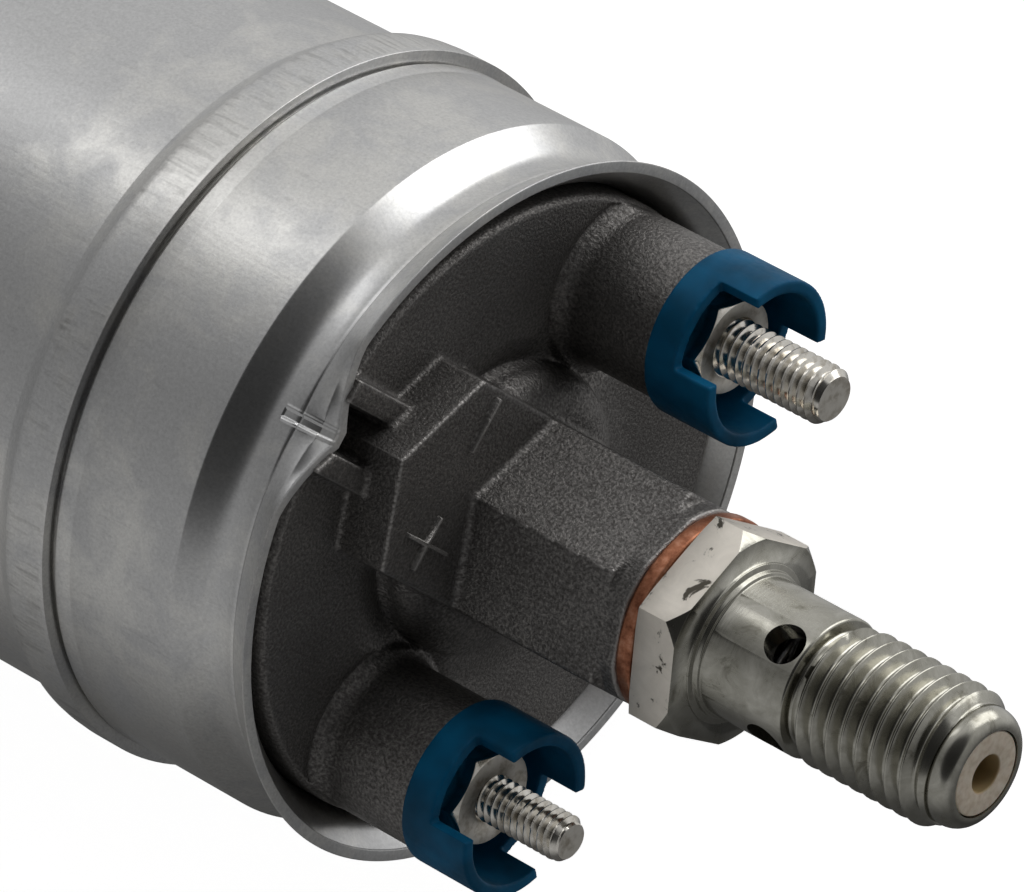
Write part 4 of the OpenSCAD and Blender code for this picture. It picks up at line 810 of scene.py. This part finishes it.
# the inner pieces' finishes: two colours that a grain blends, a metal or not, roughness from and to, the grain's
# size and its bump in mm, and its scale along x, y and z
innerFinishes = {
    # polyamide 66, natural: straw-coloured and satin
    "tan_plastic": ("polyamide_natural", "B08E62", "C3A57C", 0, 0.4, 0.55, 0.6, 0.02, (1, 1, 1)),
    # glass-filled polyamide, black: satin with a faint flow pattern
    "black_plastic": ("polyamide_black", "0F0F10", "1B1B1C", 0, 0.38, 0.55, 1.2, 0.02, (0.4, 1, 1)),
    # phenolic moulding compound: dark reddish brown with fine filler
    "phenolic": ("phenolic_brown", "2E1710", "43241A", 0, 0.35, 0.5, 0.4, 0.02, (1, 1, 1)),
    # vulcanised fibre: oxide red, matt and slightly fibrous
    "fibre_plate": ("vulcanised_fibre", "56190F", "6E281B", 0, 0.6, 0.8, 0.7, 0.03, (1, 1, 0.3)),
    # acetal, white: waxy
    "white_plastic": ("acetal_white", "CFCEC6", "DDDCD5", 0, 0.4, 0.55, 0.8, 0.02, (1, 1, 1)),
    # fluorocarbon rubber: black and matt with a faint bloom
    "fuel_rubber": ("fluoro_rubber", "0B0B0B", "191817", 0, 0.6, 0.8, 0.5, 0.03, (1, 1, 1)),
    # free-cutting brass, turned: rings round its axis
    "brass_seat": ("turned_brass", "A9853F", "C7A45E", 1, 0.2, 0.35, 0.2, 0.01, (1, 0.05, 0.05)),
    # oil-filled sintered bronze: dull with open pores
    "sintered_bronze": ("sintered_bronze", "5F4427", "94703F", 1, 0.45, 0.65, 0.25, 0.05, (1, 1, 1)),
    # enamelled copper wire: amber over copper, with lines a wire's width apart across the coils
    "winding_copper": ("enamelled_copper", "7A3416", "B25A2C", 1, 0.25, 0.4, 0.6, 0.12, (0.08, 1, 1)),
    # hard-drawn commutator copper, turned
    "commutator_copper": ("commutator_copper", "9C5535", "C2754F", 1, 0.25, 0.4, 0.15, 0.01, (1, 0.05, 0.05)),
    # patented spring wire: bright with draw lines
    "spring_steel": ("spring_wire", "77777A", "9D9DA0", 1, 0.25, 0.4, 0.2, 0.01, (0.3, 1, 1)),
    # rolled mild steel tube: grey satin with a little scale
    "pole_steel": ("rolled_steel", "5D5D60", "7B7B7D", 1, 0.4, 0.55, 3.0, 0.02, (0.3, 1, 1)),
    # stacked electrical steel: bluish, one line to each 0.5 mm sheet
    "core_steel": ("laminated_steel", "3D4048", "6A6F7A", 1, 0.4, 0.55, 0.5, 0.1, (1, 0.01, 0.01)),
    # centreless-ground bearing steel: fine rings
    "ground_steel": ("ground_steel", "8E8E91", "B4B4B6", 1, 0.12, 0.22, 0.12, 0.005, (1, 0.04, 0.04)),
    # pressed and sintered steel: dark grey and granular
    "sintered_steel": ("sintered_steel", "3F4143", "66686A", 1, 0.45, 0.6, 0.2, 0.03, (1, 1, 1)),
    # strontium ferrite: charcoal, ground matt
    "ferrite": ("ferrite", "1B1B1E", "2B2B2E", 0, 0.5, 0.7, 0.5, 0.02, (1, 1, 1)),
    # electrographite: sooty black with a faint sheen
    "carbon": ("electrographite", "101010", "212020", 0, 0.4, 0.6, 0.3, 0.02, (1, 1, 1)),
    # cast aluminium with its faces machined: pale grey with fine rings
    "cast_aluminium": ("machined_cast_aluminium", "8E8D8B", "B2B1AF", 1, 0.32, 0.48, 0.5, 0.02, (1, 0.3, 0.3)),
    # woven brass filter cloth: a coarse hatch stands for threads too fine to show
    "filter_mesh": ("woven_filter_cloth", "6C6138", "B6A66E", 1, 0.35, 0.5, 0.3, 0.08, (1, 0.3, 0.3)),
}


def innerFinish(slot):
    name, dark, light, metal, smooth, coarse, size, deep, stretch = innerFinishes[slot]
    material, tree, shader, place = newMaterial(name, {"Metallic": float(metal)})
    drawn = addNode(tree, "Mapping", {"Vector": place, "Scale": stretch})
    grain = addNode(tree, "TexNoise", {"Vector": drawn.outputs[0], "Scale": perMm(size), "Detail": 4.0})
    clouds = addNode(tree, "TexNoise", {"Vector": place, "Scale": perMm(8 * size), "Detail": 2.0})
    mixed = addNode(tree, "Math", {0: grain.outputs[0], 1: clouds.outputs[0], 2: 0.25}, operation="MULTIPLY_ADD")
    colour = addNode(tree, "ValToRGB", {"Fac": mixed.outputs[0]}, [(0.38, tint(dark)), (0.62, tint(light))])
    rough = addNode(tree, "MapRange", {"Value": mixed.outputs[0], "From Min": 0.38, "From Max": 0.62,
                                       "To Min": coarse, "To Max": smooth})
    bump = addNode(tree, "Bump", {"Height": grain.outputs[0], "Strength": 0.4, "Distance": deep * mm})
    connect(tree, shader, colour.outputs[0], rough.outputs[0], bump.outputs[0])
    return material


finishes = {slot: innerFinish(slot) for slot in innerFinishes}
finishes.update({"drawn_aluminium": drawnAluminium(), "die_cast_dark": dieCast(), "zinc_steel": zincSteel(),
                 "nickel_steel": nickelSteel(), "copper_washer": washerCopper(), "blue_plastic": bluePlastic(),
                 "cream_plastic": creamPlastic()})
print("materials made:", len(finishes))

for part in frame["record"]["subparts"]:
    node = frame["nodes"][part["node"]]
    if not node.data.materials:
        node.data.materials.append(None)
    for index in range(len(node.data.materials)):
        node.data.materials[index] = finishes[part["material_slot"]]

finish(makeCasing(), "housing", ["casing"], "drawn_aluminium", 40)
print("casing done")
finish(makeCover(), "housing", ["outlet_cover"], "die_cast_dark", 60)
print("outlet cover done")
finish(makeFitting(), "housing", ["outlet_fitting"], "zinc_steel")
finish(makeRing(insert, "outlet_fitting_insert"), "housing", ["fitting_insert"], "cream_plastic")
finish(makeRing(washer, "copper_sealing_washer"), "housing", ["sealing_washer"], "copper_washer")
print("outlet fitting done")
for pole in studs:
    finish(makeStud(pole), "housing", [pole + "_stud"], "nickel_steel")
    finish(makeNut(pole), "housing", [pole + "_nut"], "nickel_steel")
    cap = soften(nodeCopy(pole + "_collar", pole + "_terminal_collar"), collar["voxel"], collar["smoothing"])
    finish(cap, "housing", [pole + "_collar"], "blue_plastic", 60)
print("terminals done")
for node in springs:
    dressSpring(node)
print("springs done")


studio = {
    "camera": (511.1, 5.02, 673.33), "right": (0.7390140, 0.4723207, -0.4803867),
    "up": (-0.3960075, 0.8814268, 0.2574197), "lens": 354.13, "sensor": 36, "clipEnd": 20,
    "floorZ": -31.2, "floorSize": 4000,
    # the room's grey from -y to +y
    "room": [(0.0, 0.42), (0.2, 0.37), (0.35, 0.24), (0.5, 0.26), (0.65, 0.42), (0.8, 0.66), (1.0, 0.7)],
    # two dark cards: the way they lie, how near that way they start and are full, and the light that they leave
    "cards": [((0.545, 0, 0.838), 0.66, 0.78, 0.1), ((0, -0.6, -0.8), 0.45, 0.85, 0.25)],
}
# each light: where it stands, what it points at, its size along and across in mm, its power in watts
lamps = {
    "key_softbox": ((210, 780, -20), (60, 0, 0), (600, 720), 3.0),
    "strip_light": ((-435, 486, 576), (60, 0, 0), (600, 190), 0.4),
}


def makeCamera():
    data = bpy.data.cameras.new("camera")
    data.lens = studio["lens"]
    data.sensor_width = studio["sensor"]
    data.clip_end = studio["clipEnd"]
    camera = bpy.data.objects.new("camera", data)
    right, up = Vector(studio["right"]), Vector(studio["up"])
    turn = Matrix((right, up, right.cross(up))).transposed().to_4x4()
    camera.matrix_world = Matrix.Translation(Vector(studio["camera"]) * mm) @ turn
    bpy.context.scene.collection.objects.link(camera)
    bpy.context.scene.camera = camera


def makeLamp(name, place, aim, size, watts):
    data = bpy.data.lights.new(name, "AREA")
    data.shape = "RECTANGLE"
    data.size, data.size_y = size[0] * mm, size[1] * mm
    data.energy = watts
    lamp = bpy.data.objects.new(name, data)
    way = (Vector(place) - Vector(aim)).normalized()
    along = (Vector((1, 0, 0)) - way * way.x).normalized()
    turn = Matrix((along, way.cross(along), way)).transposed().to_4x4()
    lamp.matrix_world = Matrix.Translation(Vector(place) * mm) @ turn
    bpy.context.scene.collection.objects.link(lamp)


def makeFloor():
    bm = bmesh.new()
    bmesh.ops.create_grid(bm, x_segments=1, y_segments=1, size=studio["floorSize"] / 2 * mm)
    bmesh.ops.translate(bm, verts=bm.verts, vec=(0, 0, studio["floorZ"] * mm))
    floor = toObject(bm, "studio_floor")
    paper, *_ = newMaterial("white_paper", {"Base Color": tint("F2F2F2"), "Roughness": 0.9,
                                            "Emission Color": tint("FFFFFF"), "Emission Strength": 0.85})
    floor.data.materials.append(paper)
    floor.visible_glossy = False
    floor.visible_diffuse = False


def makeWorld():
    world = bpy.data.worlds.new("studio")
    world.use_nodes = True
    tree = world.node_tree
    # the room is pale on the lamp's side and grey on the other, with dark cards before the object and under it
    way = addNode(tree, "TexCoord").outputs["Generated"]
    across = addNode(tree, "SeparateXYZ", {0: way})
    height = addNode(tree, "MapRange", {"Value": across.outputs[1], "From Min": -1.0, "From Max": 1.0})
    lit = addNode(tree, "ValToRGB", {"Fac": height.outputs[0]},
                  [(place, (level, level, level, 1)) for place, level in studio["room"]])
    for aim, start, full, left in studio["cards"]:
        toward = addNode(tree, "VectorMath", {0: way, 1: aim}, operation="DOT_PRODUCT")
        card = addNode(tree, "MapRange", {"Value": toward.outputs["Value"], "From Min": start, "From Max": full,
                                          "To Min": 1.0, "To Max": left})
        lit = addNode(tree, "VectorMath", {0: lit.outputs[0], "Scale": card.outputs[0]}, operation="SCALE")
    tree.links.new(lit.outputs[0], tree.nodes["Background"].inputs["Color"])
    bpy.context.scene.world = world


makeCamera()
makeFloor()
makeWorld()
for name, (place, aim, size, watts) in lamps.items():
    makeLamp(name, place, aim, size, watts)
bpy.context.scene.view_settings.view_transform = "Standard"
print("studio ready")
